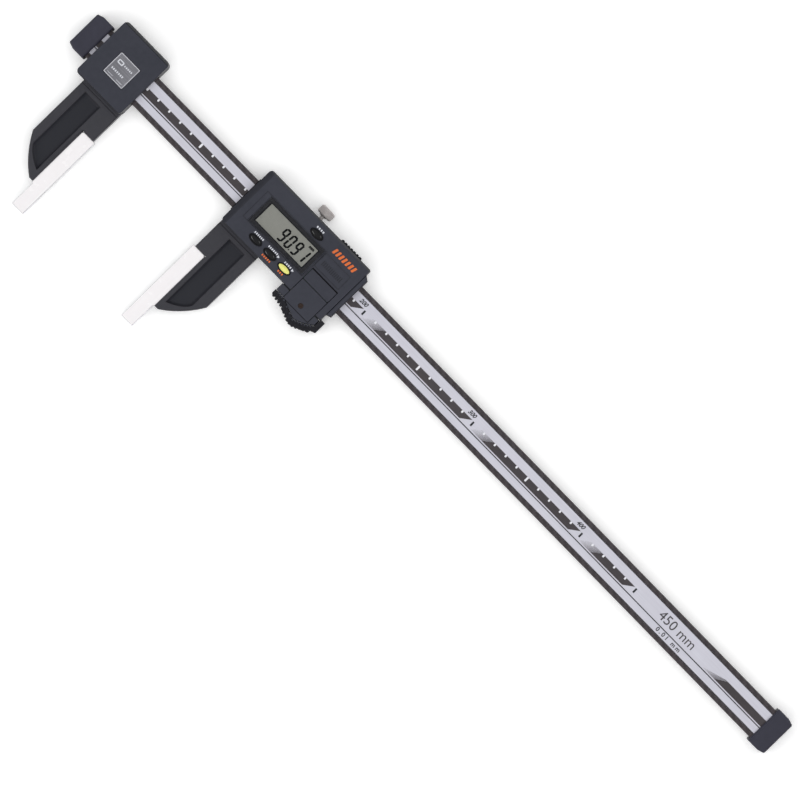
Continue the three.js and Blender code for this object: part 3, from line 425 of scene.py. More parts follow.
finishes = {
    "carbon_fibre": {"dark": (0.030, 0.024, 0.027), "light": (0.062, 0.052, 0.057),
                     "pattern": "twillWeave", "scale": 620,
                     "rough": (0.42, 0.3), "depth": 0.00004, "strength": 0.35, "wear": 0.15,
                     "edge": (0.10, 0.09, 0.09),
                     "shader": {"Coat Weight": 0.25, "Coat Roughness": 0.2, "Specular IOR Level": 0.35}},
    "tape_print": {"dark": (0.53, 0.526, 0.594), "light": (0.606, 0.603, 0.674),
                   "pattern": "linesAlongX", "scale": 1400,
                   "rough": (0.34, 0.46), "depth": 0.000004, "strength": 0.4,
                   "shader": {"Metallic": 0.0, "Specular IOR Level": 0.5}},
    "scale_board": {"dark": (0.10, 0.14, 0.06), "light": (0.18, 0.23, 0.1), "scale": 1800,
                    "rough": (0.4, 0.55), "depth": 0.00001},
    "cap_plastic": {"dark": (0.026, 0.026, 0.040), "light": (0.037, 0.037, 0.055), "scale": 2400,
                    "rough": (0.5, 0.62), "depth": 0.00003, "wear": 0.35, "edge": (0.1, 0.1, 0.12)},
    "slate_housing": {"dark": (0.026, 0.028, 0.040), "light": (0.037, 0.039, 0.053), "scale": 2600,
                      "rough": (0.46, 0.6), "depth": 0.000025, "wear": 0.4, "edge": (0.10, 0.105, 0.13),
                      # sides: painted shade on faces turned from the top; upper sides: painted highlight on
                      # those facing +Y
                      "sides": (0.019, 0.020, 0.027), "upperSides": (0.036, 0.037, 0.042)},
    "jaw_metal": {"dark": (0.029, 0.029, 0.036), "light": (0.039, 0.039, 0.047), "scale": 3200,
                  "rough": (0.42, 0.56), "depth": 0.00003, "wear": 0.45, "edge": (0.13, 0.13, 0.15),
                  # a darker painted shade for the pocket floors
                  "recess": (0.016, 0.017, 0.023)},
    "ceramic": {"dark": (0.86, 0.83, 0.845), "light": (0.90, 0.88, 0.89), "scale": 1500,
                # the tip's sides get painted shade, lighter where they face +Y as a painted highlight
                "rough": (0.2, 0.3), "depth": 0.000004, "sides": (0.52, 0.52, 0.54),
                "upperSides": (0.6, 0.6, 0.62),
                "shader": {"Coat Weight": 0.2, "Coat Roughness": 0.1}},
    "badge_metal": {"dark": (0.155, 0.155, 0.175), "light": (0.30, 0.30, 0.33), "pattern": "linesAlongX",
                    "scale": 1600, "rough": (0.3, 0.42), "depth": 0.000005, "wear": 0.7,
                    "edge": (0.7, 0.7, 0.75), "shader": {"Metallic": 0.4}},
    "steel": {"dark": (0.36, 0.33, 0.31), "light": (0.52, 0.49, 0.46), "pattern": "linesAround",
              "scale": 1500, "rough": (0.26, 0.42), "depth": 0.000006, "wear": 0.5,
              "edge": (0.75, 0.73, 0.7), "shader": {"Metallic": 1.0}},
    "brass": {"dark": (0.42, 0.30, 0.12), "light": (0.60, 0.45, 0.2), "pattern": "linesAlongX",
              "scale": 1300, "rough": (0.3, 0.45), "depth": 0.000006, "shader": {"Metallic": 1.0}},
    "black_rubber": {"dark": (0.007, 0.007, 0.009), "light": (0.014, 0.014, 0.017), "scale": 3400,
                     "rough": (0.7, 0.85), "depth": 0.00003, "wear": 0.2, "edge": (0.03, 0.03, 0.035),
                     "shader": {"Specular IOR Level": 0.25}},
    "button_black": {"dark": (0.003, 0.003, 0.004), "light": (0.007, 0.007, 0.008), "scale": 3600,
                     "rough": (0.14, 0.2), "depth": 0.000004, "wear": 0.15, "edge": (0.05, 0.05, 0.055),
                     "shader": {"Coat Weight": 0.7, "Coat Roughness": 0.08}},
    "button_yellow": {"dark": (0.76, 0.74, 0.18), "light": (0.86, 0.85, 0.26), "scale": 3600,
                      "rough": (0.36, 0.46), "depth": 0.00001, "wear": 0.2, "edge": (0.6, 0.58, 0.2)},
    "board_green": {"dark": (0.012, 0.07, 0.03), "light": (0.03, 0.13, 0.06), "scale": 1500,
                    "rough": (0.3, 0.5), "depth": 0.00002},
    "lcd_glass": {"dark": (0.245, 0.248, 0.222), "light": (0.28, 0.283, 0.256), "scale": 2600,
                  "rough": (0.4, 0.5), "depth": 0.000004},
    "socket_black": {"dark": (0.012, 0.012, 0.012), "light": (0.022, 0.022, 0.022), "scale": 2400,
                     "rough": (0.45, 0.6), "depth": 0.00002},
}
# darker slate for the raised lines and ribs: painted shade where their steps cast lines
finishes["slate_line"] = {**finishes["slate_housing"], "dark": (0.015, 0.016, 0.022),
                          "light": (0.022, 0.023, 0.031)}
finishes["soft_rubber"] = {**finishes["black_rubber"], "dark": (0.012, 0.012, 0.015),
                           "light": (0.023, 0.023, 0.028)}
finishes["satin_steel"] = {**finishes["steel"], "dark": (0.46, 0.425, 0.415), "light": (0.68, 0.64, 0.63),
                           "edge": (0.85, 0.83, 0.82), "shader": {"Metallic": 0.4}}
finishes["dark_screw"] = {**finishes["steel"], "dark": (0.035, 0.024, 0.020),
                          "light": (0.075, 0.05, 0.042), "wear": 0.4, "edge": (0.2, 0.14, 0.11),
                          "shader": {"Metallic": 0.6}}
inks = {
    "inkBlack": {"dark": (0.012, 0.013, 0.017), "light": (0.022, 0.022, 0.026)},
    "inkBand": {"dark": (0.042, 0.036, 0.040), "light": (0.058, 0.050, 0.055)},
    "inkWhite": {"dark": (0.56, 0.58, 0.63), "light": (0.70, 0.71, 0.76)},
    "inkBare": {"dark": (0.70, 0.70, 0.75), "light": (0.80, 0.80, 0.84)},
    "inkOrange": {"dark": (0.62, 0.12, 0.02), "light": (0.76, 0.17, 0.03)},
    "inkBezel": {"dark": (0.013, 0.013, 0.016), "light": (0.020, 0.020, 0.025)},
    "lcdInk": {"dark": (0.001, 0.001, 0.002), "light": (0.003, 0.003, 0.004),
               "shader": {"Specular IOR Level": 0.1}},
    "inkRim": {"dark": (0.45, 0.45, 0.5), "light": (0.6, 0.6, 0.64)},
}
materials = {name: makeFinish(name, look) for name, look in finishes.items()}
for name, look in inks.items():
    materials[name] = makeFinish(name, {**look, "scale": 3000, "rough": (0.4, 0.55), "depth": 0.000004})


# Printed halftone that turns from bare tape to full ink, once every 100 mm. It leans with the band's end.
halftone = {"repeat": 0.1, "lead": 0.0003, "pitch": 0.00062, "first": 0.2, "last": 0.62}


def makeFade(name, start, length, lean):
    material = makeFinish(name, {**inks["inkBand"], "scale": 3000, "rough": (0.4, 0.55), "depth": 0.000004})
    tree = material.node_tree
    shader = tree.nodes["Principled BSDF"]
    spot = axes(tree)
    drift = calc(tree, "MULTIPLY", calc(tree, "SUBTRACT", spot["Y"], beamLine), lean)
    leaned = calc(tree, "SUBTRACT", spot["X"], drift)
    onward = calc(tree, "SUBTRACT", leaned, start - halftone["lead"])
    reach = calc(tree, "FLOORED_MODULO", onward, halftone["repeat"])
    share = remap(tree, reach, halftone["lead"], length, halftone["first"], halftone["last"])
    dots = []
    for axis in ("X", "Y"):
        turn = calc(tree, "MULTIPLY", spot[axis], 2 * math.pi / halftone["pitch"])
        dots.append(calc(tree, "COSINE", turn))
    screen = remap(tree, calc(tree, "MULTIPLY", dots[0], dots[1]), -1.0, 1.0)
    ink = remap(tree, calc(tree, "SUBTRACT", share, screen), -0.16, 0.04)
    body = shader.inputs["Base Color"].links[0].from_socket
    tape = finishes["tape_print"]
    wire(tree, blendColour(tree, ink, tape["light"], body), shader.inputs["Base Color"])
    return material


# The window: nearly clear, with a soft shine of its own.
def makePane():
    material = makeFinish("window_clear", {"dark": (0.02, 0.022, 0.026), "light": (0.035, 0.037, 0.042),
                                           "scale": 500, "rough": (0.06, 0.14), "depth": 0.000002})
    material.node_tree.nodes["Principled BSDF"].inputs["Alpha"].default_value = 0.05
    return material


materials["window_clear"] = makePane()
for node, piece in frame["nodes"].items():
    piece.data.materials.clear()
    piece.data.materials.append(materials[slotOf[node]])
print("materials done")


# Moulded, cast and ground pieces: copies of the frame's own solids with softened edges.
# Each has the copy's name, the width of its softened edges and how many steps they have.
softened = {
    "beam": ("beamTube", 0.12, 2), "end_cap_left": ("endCapLeft", 0.35, 3),
    "end_cap_right": ("endCapRight", 0.35, 3), "fixed_jaw": ("fixedJawBody", 0.22, 2),
    "slider_jaw": ("sliderJawBody", 0.22, 2), "fixed_jaw_tip": ("fixedTip", 0.14, 2),
    "slider_jaw_tip": ("sliderTip", 0.14, 2), "head_front_cover": ("headFront", 0.3, 2),
    "head_back_cover": ("headBack", 0.22, 2), "slider_front_cover": ("sliderFront", 0.16, 2),
    "slider_back_cover": ("sliderBack", 0.16, 2), "slider_end_plate": ("sliderEnd", 0.2, 2),
    "display_window": ("displayPane", 0.12, 2), "thumb_block": ("thumbBlock", 0.15, 2),
    "grip_rubber": ("thumbRubber", 0.07, 2), "top_grip": ("topPad", 0.12, 2),
    "battery_cover": ("batteryLid", 0.18, 2), "socket_cover": ("socketLid", 0.18, 2),
    "wiper_left": ("wiperLeft", 0.2, 2), "wiper_right": ("wiperRight", 0.2, 2),
    "head_badge": ("headBadge", 0.08, 2), "keypad_seal_row": ("sealRow", 0.12, 2),
    "keypad_seal_hold": ("sealHold", 0.12, 2), "battery_cover_screw": ("lidScrew", 0.06, 2),
}
ownFinish = {"battery_cover_screw": "dark_screw", "grip_rubber": "soft_rubber"}
for node, (name, width, segments) in softened.items():
    piece = copyNode(node, name)
    softenEdges(piece, width, segments)
    mount(piece, frame["nodes"][node]["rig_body"], slotOf[node],
          materials[ownFinish.get(node, slotOf[node])], node)
print("softened pieces done")


# A wider groove above the upper panel: the panel's edge moves down, and a black strip closes the gap behind
# it as painted shade in the groove
groove = {"edge": 0.7, "cut": 0.5, "rise": 0.25, "drop": 1.0, "side": 0.2, "depth": 1.6, "thick": 0.3}
lid = bpy.data.objects["socketLid"]
lidTop = max(point.co.y for point in lid.data.vertices)
select(lid, "VERT", lambda at: at.y > lidTop - groove["edge"] / 1000)
bpy.ops.transform.translate(value=(0, -groove["cut"] / 1000, 0))
bpy.ops.object.mode_set(mode="OBJECT")
lidLow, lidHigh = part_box("socket_cover")
grooveX = [(lidLow.x - sliderFace.x) * 1000 - groove["side"],
           (lidHigh.x - sliderFace.x) * 1000 + groove["side"]]
edgeY = (lidHigh.y - beamLine) * 1000
grooveY = (edgeY - groove["drop"], edgeY + groove["rise"])
grooveTop = topOf("slider_front_cover") - groove["depth"]
shadeStrip = addBar("grooveShadeStrip", sliderFace, grooveX, grooveY, (grooveTop - groove["thick"], grooveTop))
softenEdges(shadeStrip, 0.05, 1)
mount(shadeStrip, "slider_unit", "socket_black", materials["black_rubber"])

# Printed scale: a dark band with bare dots every 10 mm, broken at each number
scale = {
    "marks": (100, 200, 300, 400, 450), "shift": -1.0, "spacing": 10, "dotRange": (-50, 450),
    "top": 2.8, "bottom": -2.3, "bare": (12.0, -8.5), "endBand": (524.8, 533.2), "endGap": 0.3,
    "lean": 6.5, "bandLean": 6.9, "fade": 10.5, "overlap": 0.02, "dot": (1.35, 1.7), "longDot": 3.4,
    "tick": (1.3, 3.5), "numberAt": (-4.6, 5.5), "lineAt": (-3.78, -3.08), "edgeShadeLine": (0.02, 0.4),
    "words": 486.5,
}
tapeTop = topOf("scale_tape")
tapeEnds = [(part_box("scale_tape")[i].x - fixedFace.x) * 1000 for i in (0, 1)]
inkSpan = inkLayer(tapeTop, 0.004)
inkedX = (tapeEnds[0] + scale["endGap"], tapeEnds[1] - scale["endGap"])


# Slides the upper corners of a bar's ends sideways, so that the ends lean.
def leanEnds(piece, left, right):
    points = piece.data.vertices
    for side, shift in ((False, left), (True, right)):
        middleX = sum(point.co.x for point in points) / len(points)
        if shift:
            middleY = sum(point.co.y for point in points) / len(points)
            select(piece, "VERT", lambda at: (at.x > middleX) == side and at.y > middleY)
            bpy.ops.transform.translate(value=(shift / 1000, 0, 0))
            bpy.ops.object.mode_set(mode="OBJECT")


def printTape(name, x, y, ink, left=0.0, right=0.0, corner=0.0):
    piece = addBar(name, fixedFace, x, y, inkSpan)
    leanEnds(piece, left, right)
    if corner:
        bevelUprights(piece, corner)
    mount(piece, "beam_unit", "tape_print", materials[ink])


def printBands(marks):
    y = (scale["bottom"], scale["top"])
    startBare, endBare = scale["bare"]
    first, second = scale["endBand"]
    endLean = second - first
    printTape("band_0", (inkedX[0], marks[0] + endBare), y, "inkBand", 0, scale["bandLean"])
    for i, (mark, nextMark) in enumerate(zip(marks, marks[1:])):
        printTape(f"band_{i + 1}", (mark + startBare, nextMark + endBare), y, "inkBand",
                  scale["lean"], scale["bandLean"])
    printTape("band_5", (first, inkedX[1]), y, "inkBand", endLean, 0)

    lean = scale["lean"] / (y[1] - y[0])
    fade = scale["fade"]
    starts = [mark + startBare - fade for mark in marks[:4]] + [first - fade]
    for i, start in enumerate(starts):
        key, slant = ("halftone", scale["lean"]) if i < 4 else ("halftoneEnd", endLean)
        if key not in materials:
            edge = place(fixedFace, start, 0, 0).x - lean * y[0] / 1000
            materials[key] = makeFade(key, edge, fade / 1000, lean)
        printTape(f"fade_{i}", (start, start + fade + scale["overlap"]), y, key, slant, slant)


def printDots():
    over = inkLayer(inkSpan[1], 0.003)
    width, height = scale["dot"]
    x, top = (-width / 2, width / 2), scale["top"] + 0.05
    short = addBar("dot", fixedFace, x, (scale["top"] - height, top), over)
    bevelUprights(short, 0.55)
    tall = addBar("dotTall", fixedFace, x, (scale["top"] - scale["longDot"], top), over)
    bevelUprights(tall, 0.4)
    dots = []
    for value in range(*scale["dotRange"], scale["spacing"]):
        if value % 100 or value < 100:
            model = tall if value % 100 == 50 else short
            dots.append(copyPiece(model, f"dot{value}", (value + scale["shift"], 0, 0)))
    for model in (short, tall):
        bpy.data.objects.remove(model)
    mount(joinPieces("scaleDots", dots), "beam_unit", "tape_print", materials["inkBare"])


def printTicks(marks):
    ticks = []
    width, height = scale["tick"]
    top = scale["top"] - 0.1
    for mark in marks:
        x = (mark - width / 2, mark + width / 2)
        ticks.append(addBar("tick", fixedFace, x, (top - height, top), inkSpan))
        bevelUprights(ticks[-1], 0.12)
    mount(joinPieces("scaleTicks", ticks), "beam_unit", "tape_print", materials["inkBlack"])


def printLines():
    printTape("scaleLine", inkedX, scale["lineAt"], "inkBlack", corner=0.15)
    # black strips along both edges of the tape: painted shadow where the tape sits in its seat
    near, far = scale["edgeShadeLine"]
    half = (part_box("scale_tape")[1].y - beamLine) * 1000
    printTape("tapeEdgeShadeUpper", inkedX, (half - far, half - near), "inkBlack", corner=0.1)
    printTape("tapeEdgeShadeLower", inkedX, (-half + near, -half + far), "inkBlack", corner=0.1)


def printWords(marks):
    across, up = scale["numberAt"]
    z = (inkSpan[0] + inkSpan[1]) / 2
    for mark, words in zip(marks, ("100", "200", "300", "400")):
        number = addText(f"number{words}", words, fixedFace, mark + across, up, z, 4.0, slant=0.32,
                         weight=0.12)
        mount(number, "beam_unit", "tape_print", materials["inkBlack"])
    rangeMark = addText("rangeMark", "450 mm", fixedFace, scale["words"], 2.5, z, 9.4)
    mount(rangeMark, "beam_unit", "tape_print", materials["inkBand"])
    stepMark = addText("stepMark", "0.01 mm", fixedFace, scale["words"], -5.9, z, 4.2, spacing=1.5,
                       weight=0.1)
    mount(stepMark, "beam_unit", "tape_print", materials["inkBlack"])


scaleMarks = [mark + scale["shift"] for mark in scale["marks"]]
printBands(scaleMarks)
printDots()
printTicks(scaleMarks)
printLines()
printWords(scaleMarks)
print("scale done")

# Display: digits, unit, a black gasket that also stands for painted shadow at the window's inner edge, and
# the window's printed border
display = {
    "middle": (38.24, 0.3), "centreY": -0.87, "rightStroke": 56.7, "pitch": 6.08, "width": 3.15,
    "half": 4.5, "stroke": 1.4, "tip": 0.36, "slant": 0.1, "point": 0.45, "reading": "90.91",
    "unit": (55.5, 5.9, 2.7), "gasketShadow": (45.2, 17.9), "gasketWidth": 1.45, "gasketHeight": 0.45,
    "border": (48.7, 20.9), "borderWidth": 2.35,
}
segmentsOf = {"9": "abcdfg", "0": "abcdef", "1": "bc"}
sliderFront = topOf("slider_front_cover")
panelTop = topOf("lcd_panel")


# A flat ring with rounded corners.
def addRim(name, origin, middle, size, z, width, outerCorner=0.6, innerCorner=0.25):
    x, y = ((middle[k] - size[k] / 2, middle[k] + size[k] / 2) for k in (0, 1))
    rim = addBar(name, origin, x, y, z)
    bevelUprights(rim, outerCorner)
    hole = addBar("hole", origin, (x[0] + width, x[1] - width), (y[0] + width, y[1] - width),
                  (z[0] - 1, z[1] + 1))
    bevelUprights(hole, innerCorner)
    useModifier(rim, "BOOLEAN", operation="DIFFERENCE", object=hole, solver="EXACT")
    bpy.data.objects.remove(hole)
    return rim


# Seven-segment digits, placed from the right, with strokes named a to g clockwise from the top.
def addDigits():
    span = inkLayer(panelTop, 0.005)
    stroke, half, width, centreY = (display[key] for key in ("stroke", "half", "width", "centreY"))
    flatX = (-width / 2 + 0.08, width / 2 - 0.08)
    flat = addBar("flatStroke", sliderFace, flatX, (-stroke / 2, stroke / 2), span)
    uprightY = (-half / 2 + 0.1, half / 2 - 0.1)
    upright = addBar("uprightStroke", sliderFace, (-stroke / 2, stroke / 2), uprightY, span)
    for model in (flat, upright):
        bevelUprights(model, stroke * display["tip"], 1)
    spots = {
        "a": (flat, 0, half), "g": (flat, 0, 0), "d": (flat, 0, -half),
        "b": (upright, width / 2, half / 2), "c": (upright, width / 2, -half / 2),
        "e": (upright, -width / 2, -half / 2), "f": (upright, -width / 2, half / 2),
    }
    strokes = []
    count = 0
    for letter in reversed(display["reading"]):
        x = display["rightStroke"] - width / 2 - count * display["pitch"]
        if letter == ".":
            reach = display["point"]
            across, down = x + width / 2 + (display["pitch"] - width) / 2, centreY - half
            pointX, pointY = (across - reach, across + reach), (down - reach, down + reach)
            point = addBar("point", sliderFace, pointX, pointY, span)
            bevelUprights(point, 0.2, 2)
            strokes.append(point)
            continue
        for key in segmentsOf[letter]:
            model, across, up = spots[key]
            strokes.append(copyPiece(model, "stroke", (x + across, centreY + up, 0)))
        count += 1
    for model in (flat, upright):
        bpy.data.objects.remove(model)
    digits = joinPieces("lcdDigits", strokes)
    base = beamLine + centreY / 1000
    for point in digits.data.vertices:  # the digits lean to the right
        point.co.x += (point.co.y - base) * display["slant"]
    mount(digits, "slider_unit", "lcd_glass", materials["lcdInk"])
    unitX, unitY, unitSize = display["unit"]
    unit = addText("lcdUnit", "mm", sliderFace, unitX, unitY, span[0] + inkThick / 2, unitSize, weight=0.2)
    mount(unit, "slider_unit", "lcd_glass", materials["lcdInk"])


addDigits()
# a black ring round the LCD: partly a gasket, partly painted shadow under the window's border
gasketZ = (panelTop + 0.01, panelTop + display["gasketHeight"])
gasketShadow = addRim("displayGasketShadow", sliderFace, display["middle"], display["gasketShadow"], gasketZ,
                display["gasketWidth"])
softenEdges(gasketShadow, 0.08, 2)
mount(gasketShadow, "slider_unit", "black_rubber", materials["black_rubber"])
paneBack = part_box("display_window")[0].z * 1000
borderZ = (paneBack - 0.035, paneBack - 0.01)
border = addRim("windowBorder", sliderFace, display["middle"], display["border"], borderZ,
                display["borderWidth"])
mount(border, "slider_unit", "window_clear", materials["inkBezel"])
print("display done")

# Buttons with crowned tops
buttons = {"offset_button": "offsetCap", "preset_button": "presetCap", "zero_button": "zeroCap",
           "hold_button": "holdCap"}
crown = {"height": 0.4, "turns": (0, 22, 42, 60, 76)}  # the caps' tops follow an arc
for node, name in buttons.items():
    cap = copyNode(node, name)
    top = max(point.co.z for point in cap.data.vertices)
    low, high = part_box(node)
    select(cap, "FACE", lambda face: face.normal.z > 0.9 and face.center.z > top - 1e-5)
    bpy.ops.transform.translate(value=(0, 0, -crown["height"] / 1000))
    for before, after in zip(crown["turns"], crown["turns"][1:]):
        rise = crown["height"] * (math.sin(math.radians(after)) - math.sin(math.radians(before)))
        share = math.cos(math.radians(after)) / math.cos(math.radians(before))
        bpy.ops.mesh.extrude_region_move(TRANSFORM_OT_translate={"value": (0, 0, rise / 1000)})
        bpy.ops.transform.resize(value=(share, share, 1), center_override=(low + high) / 2)
    bpy.ops.object.mode_set(mode="OBJECT")
    softenEdges(cap, 0.08, 2, angle=50)
    mount(cap, node, slotOf[node], materials[slotOf[node]], node)
print("buttons done")

# Marks printed on the slider and the head: plain bars and triangles
coverTop = inkLayer(sliderFront, 0.003)
rows = {  # middle, width, height, how many bars, ink, lean
    "holdMark": ((50.9, 18.4), 6.2, 1.3, 4, "inkWhite", 0.0),
    "offsetMark": ((26.2, -12.6), 7.9, 1.3, 6, "inkWhite", 0.0),
    "presetMark": ((39.0, -12.6), 8.0, 1.3, 6, "inkWhite", 0.0),
    "zeroMark": ((52.4, -12.6), 5.7, 1.3, 4, "inkWhite", 0.0),
    "presetSecond": ((39.4, -19.5), 7.3, 1.3, 5, "inkOrange", 0.0),
    "zeroSecond": ((52.4, -19.5), 4.4, 1.3, 3, "inkOrange", 0.0),
    "stripes": ((75.4, 15.5), 18.6, 3.9, 7, "inkOrange", 1.0),
}
arrows = {"arrowUp": ((44.3, -13.3), -math.pi / 6), "arrowRight": ((56.9, -13.0), math.pi / 2)}
arrowRadius = 1.15


# A row of equal bars; share is the inked part of their spacing.
def addRow(name, origin, middle, width, height, count, z, share=0.58, lean=0.0):
    cornerShare = 0.18
    pitch = width / (count - 1 + share)
    x = (-pitch * share / 2, pitch * share / 2)
    bar = addBar("bar", origin, x, (middle[1] - height / 2, middle[1] + height / 2), z)
    leanEnds(bar, lean, lean)
    bevelUprights(bar, min(pitch * share, height) * cornerShare, 2)
    left = middle[0] - width / 2 + pitch * share / 2
    bars = [copyPiece(bar, "bar", (left + i * pitch, 0, 0)) for i in range(count)]
    bpy.data.objects.remove(bar)
    return joinPieces(name, bars)


for name, (middle, width, height, count, ink, lean) in rows.items():
    row = addRow(name, sliderFace, middle, width, height, count, coverTop, lean=lean)
    mount(row, "slider_unit", "slate_housing", materials[ink])
for name, (centre, turn) in arrows.items():
    arrow = addRod(name, place(sliderFace, *centre, sum(coverTop) / 2), arrowRadius, inkThick, sides=3)
    points = [point.co.copy() for point in arrow.data.vertices]
    middle = sum(points, Vector()) / len(points)
    pick(arrow)
    bpy.ops.object.mode_set(mode="EDIT")
    bpy.ops.mesh.select_all(action="SELECT")
    bpy.ops.transform.rotate(value=turn, orient_axis="Z", center_override=middle)
    bpy.ops.object.mode_set(mode="OBJECT")
    bevelUprights(arrow, 0.15, 2)
    mount(arrow, "slider_unit", "slate_housing", materials["inkWhite"])

# Raised lines and ribs moulded in the slider's face, coloured darker than the face as painted shade along
# their steps
raised = (sliderFront - 0.05, sliderFront + 0.22)
raisedWidth = 0.42
raisedFrames = {"displayFrame": ((36.9, 0.15), (54.9, 22.9)), "ribFrame": ((75.2, 5.0), (22.4, 11.5))}
for name, (middle, size) in raisedFrames.items():
    rim = addRim(name, sliderFace, middle, size, raised, raisedWidth)
    softenEdges(rim, 0.06, 2)
    mount(rim, "slider_unit", "slate_housing", materials["slate_line"])
ribs = addRow("faceRibs", sliderFace, (75.2, 4.6), 16.5, 3.6, 12, raised, share=0.5)
softenEdges(ribs, 0.05, 2)
mount(ribs, "slider_unit", "slate_housing", materials["slate_line"])

# Head plate: a bright rim, a small ring and rows of plain marks
badge = {"middle": (-20.8, -1.6), "size": (16.8, 16.8), "rim": 0.55, "below": 0.3, "above": 0.08}
ring = {"middle": (-24.8, 1.7), "size": (4.4, 2.9), "width": 0.75}
badgeRows = {  # middle, width, height, how many bars
    "badgeUpper": ((-18.2, 1.7), 6.6, 1.1, 5), "badgeLower": ((-22.0, -4.4), 10.0, 1.4, 7),
    "badgeLines": ((-20.8, -8.2), 13.0, 0.25, 2),
}
badgeTop = topOf("head_badge")
plateTop = inkLayer(badgeTop, 0.002)
rimZ = (badgeTop - badge["below"], badgeTop + badge["above"])
rim = addRim("badgeRim", fixedFace, badge["middle"], badge["size"], rimZ, badge["rim"])
softenEdges(rim, 0.05, 2)
mount(rim, "beam_unit", "badge_metal", materials["inkRim"])
box = addRim("badgeBox", fixedFace, ring["middle"], ring["size"], plateTop, ring["width"])
mount(box, "beam_unit", "badge_metal", materials["inkWhite"])
for name, (middle, width, height, count) in badgeRows.items():
    row = addRow(name, fixedFace, middle, width, height, count, plateTop)
    mount(row, "beam_unit", "badge_metal", materials["inkWhite"])
print("marks done")

# Lock screw: straight knurl, chamfered ends, a socket in the end and a thin shaft
lock = {
    "radius": 5.3, "length": 5.9, "chamfer": 0.75, "sides": 96, "knurl": 0.38, "knurlShare": 0.97,
    "endRing": 2.2, "socketStep": 0.4, "socketDepth": 0.3, "shaft": 1.5, "shaftDip": 0.2,
    "collar": 2.6, "collarHeight": 0.6,
}


def addLockScrew():
    low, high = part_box("lock_screw")
    centre = (low + high) / 2
    middle = Vector((centre.x, high.y - lock["length"] / 2000, centre.z))
    head = addRod("lockHead", middle, lock["radius"], lock["length"], axis="y", sides=lock["sides"])
    select(head, "FACE", lambda face: abs(face.normal.y) > 0.9)
    bpy.ops.mesh.bevel(offset=lock["chamfer"] / 1000, segments=2, affect="EDGES")
    bpy.ops.object.mode_set(mode="OBJECT")
    step = 2 * math.pi / lock["sides"]

    def everySecond(face):
        if abs(face.normal.y) > 0.1:
            return False
        turn = math.atan2(face.center.z - centre.z, face.center.x - centre.x)
        return round(turn / step - 0.5) % 2 == 0

    select(head, "FACE", everySecond)
    bpy.ops.mesh.extrude_faces_move(TRANSFORM_OT_shrink_fatten={"value": lock["knurl"] / 1000})
    bpy.ops.transform.resize(value=(1, lock["knurlShare"], 1), center_override=middle)
    bpy.ops.object.mode_set(mode="OBJECT")
    endLevel = max(point.co.y for point in head.data.vertices) - 0.00001
    select(head, "FACE", lambda face: face.center.y > endLevel)
    bpy.ops.mesh.inset(thickness=lock["endRing"] / 1000)
    bpy.ops.mesh.inset(thickness=lock["socketStep"] / 1000, depth=-lock["socketDepth"] / 1000)
    bpy.ops.object.mode_set(mode="OBJECT")

    shaftLow, shaftHigh = low.y, high.y - lock["length"] / 1000
    shaftMiddle = Vector((centre.x, (shaftLow + shaftHigh) / 2, centre.z))
    shaft = addRod("lockShaft", shaftMiddle, lock["shaft"], (shaftHigh - shaftLow) * 1000, axis="y",
                   sides=32)
    select(shaft, "FACE", lambda face: face.normal.y > 0.9)
    bpy.ops.mesh.extrude_region_move(TRANSFORM_OT_translate={"value": (0, -lock["shaftDip"] / 1000, 0)})
    bpy.ops.object.mode_set(mode="OBJECT")
    collarMiddle = Vector((centre.x, shaftHigh - lock["collarHeight"] / 2000, centre.z))
    collar = addRod("lockCollar", collarMiddle, lock["collar"], lock["collarHeight"], axis="y", sides=32)
    softenEdges(collar, 0.25, 2)
    screw = joinPieces("lockScrew", [head, shaft, collar])
    softenEdges(screw, 0.05, 1, angle=40)
    mount(screw, "lock_screw", "steel", materials["satin_steel"], "lock_screw")


addLockScrew()

# Ribs on the thumb grip's face, one behind each tooth, and bumps of the block between their roots
thumb = {
    "thumbRibs": {
        "count": 14, "size": (1.2, 2.6), "rise": 0.75, "slot": "black_rubber", "look": "soft_rubber",
        "path": ((58.5, 9.4), (67.7, 10.8), (79.6, 15.1), (87.9, 12.0), (92.6, 9.4))},
    "thumbBumps": {
        "count": 13, "size": (1.3, 1.3), "rise": 0.85, "slot": "slate_housing", "look": "slate_housing",
        "path": ((60.2, 6.5), (65.7, 6.9), (79.6, 12.2), (86.0, 9.6), (91.4, 6.2))},
}
coverLow = (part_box("slider_front_cover")[0].y - beamLine) * 1000


# A spot on a path of straight runs; share goes from 0 to 1 with each run counted the same.
def alongPath(points, share):
    reach = share * (len(points) - 1)
    i = min(int(reach), len(points) - 2)
    part = reach - i
    return [points[i][k] + (points[i + 1][k] - points[i][k]) * part for k in (0, 1)]


def addThumbRow(name, row):
    cornerShare = 0.36
    top = topOf("grip_rubber")
    width, length = row["size"]
    ribs = []
    for i in range(row["count"]):
        across, down = alongPath(row["path"], (i + 0.5) / row["count"])
        x = (across - width / 2, across + width / 2)
        y = (coverLow - down - length / 2, coverLow - down + length / 2)
        rib = addBar("rib", sliderFace, x, y, (top - 0.2, top + row["rise"]))
        bevelUprights(rib, width * cornerShare)
        ribs.append(rib)
    piece = joinPieces(name, ribs)
    softenEdges(piece, 0.15, 2)
    mount(piece, "slider_unit", row["slot"], materials[row["look"]])


for name, row in thumb.items():
    addThumbRow(name, row)
print("lock and grip done")


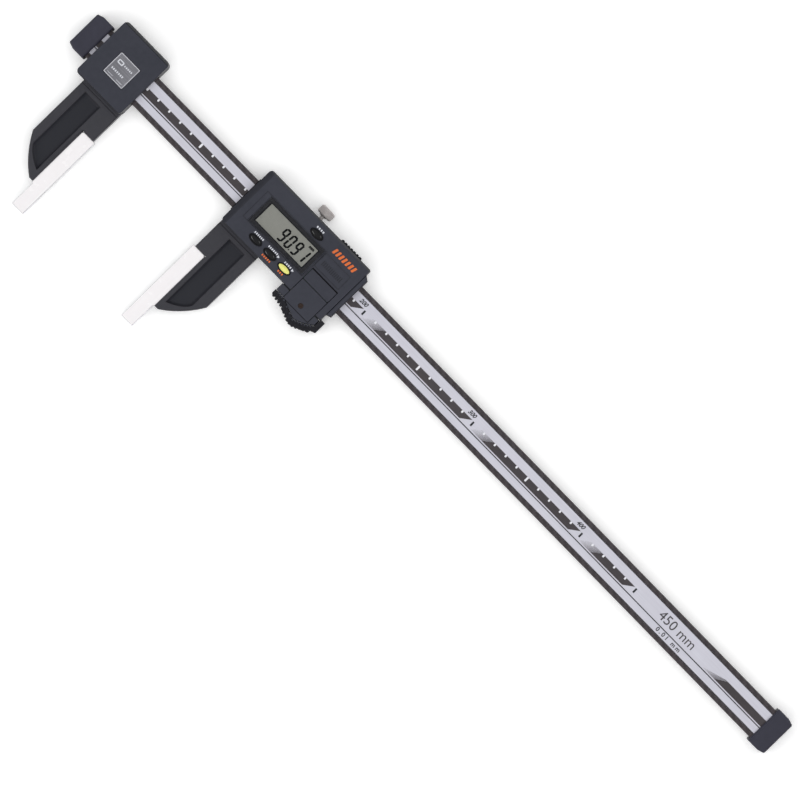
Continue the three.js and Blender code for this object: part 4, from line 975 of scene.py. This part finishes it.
# Camera and studio
camera = {"lens": 250, "sensor": 36, "width": 0.515, "aim": (-0.0064, 0.01845, 0.0154), "roll": 45.69}


def addCamera():
    clearSelection()
    distance = camera["width"] * camera["lens"] / camera["sensor"]
    aim = Vector(camera["aim"])
    bpy.ops.object.camera_add(location=aim + Vector((0, 0, distance)),
                              rotation=(0, 0, math.radians(camera["roll"])))
    eye = bpy.context.object
    eye.data.lens = camera["lens"]
    eye.data.sensor_width = camera["sensor"]
    eye.data.clip_end = 20
    bpy.context.scene.camera = eye


studio = {
    "overhead": {"place": (0.1, -0.1, 1.9), "size": 2.2, "power": 34, "shine": False},
    "upperRight": {"place": (0.7, 1.3, 1.1), "size": 0.9, "power": 3.4, "shine": True},
    "lowerLeft": {"place": (-0.8, -1.2, 0.9), "size": 0.9, "power": 6, "shine": True},
}
worldStrength = 0.22
floorSize = 8
paper = {
    "dark": (0.955, 0.955, 0.955), "light": (0.965, 0.965, 0.965), "scale": 300, "rough": (0.8, 0.9),
    "depth": 0.00001,
    "shader": {"Specular IOR Level": 0.1, "Emission Color": (1, 1, 1, 1), "Emission Strength": 0.22},
}


def addStudio():
    for name, light in studio.items():
        clearSelection()
        spot = Vector(light["place"])
        bpy.ops.object.light_add(type="AREA", location=spot,
                                 rotation=(-spot).to_track_quat("-Z", "Y").to_euler())
        lamp = bpy.context.object
        lamp.name = name
        lamp.data.size = light["size"]
        lamp.data.energy = light["power"]
        lamp.visible_camera = False
        lamp.visible_glossy = light["shine"]
    world = bpy.data.worlds.new("studio")
    world.use_nodes = True
    world.node_tree.nodes["Background"].inputs["Color"].default_value = (1, 1, 1, 1)
    world.node_tree.nodes["Background"].inputs["Strength"].default_value = worldStrength
    bpy.context.scene.world = world
    bpy.context.scene.view_settings.view_transform = "Standard"
    clearSelection()
    bpy.ops.mesh.primitive_plane_add(size=floorSize)
    floor = newPiece("floor")
    floor.data.materials.append(makeFinish("paperFloor", paper))


addCamera()
addStudio()
print("camera and studio done")
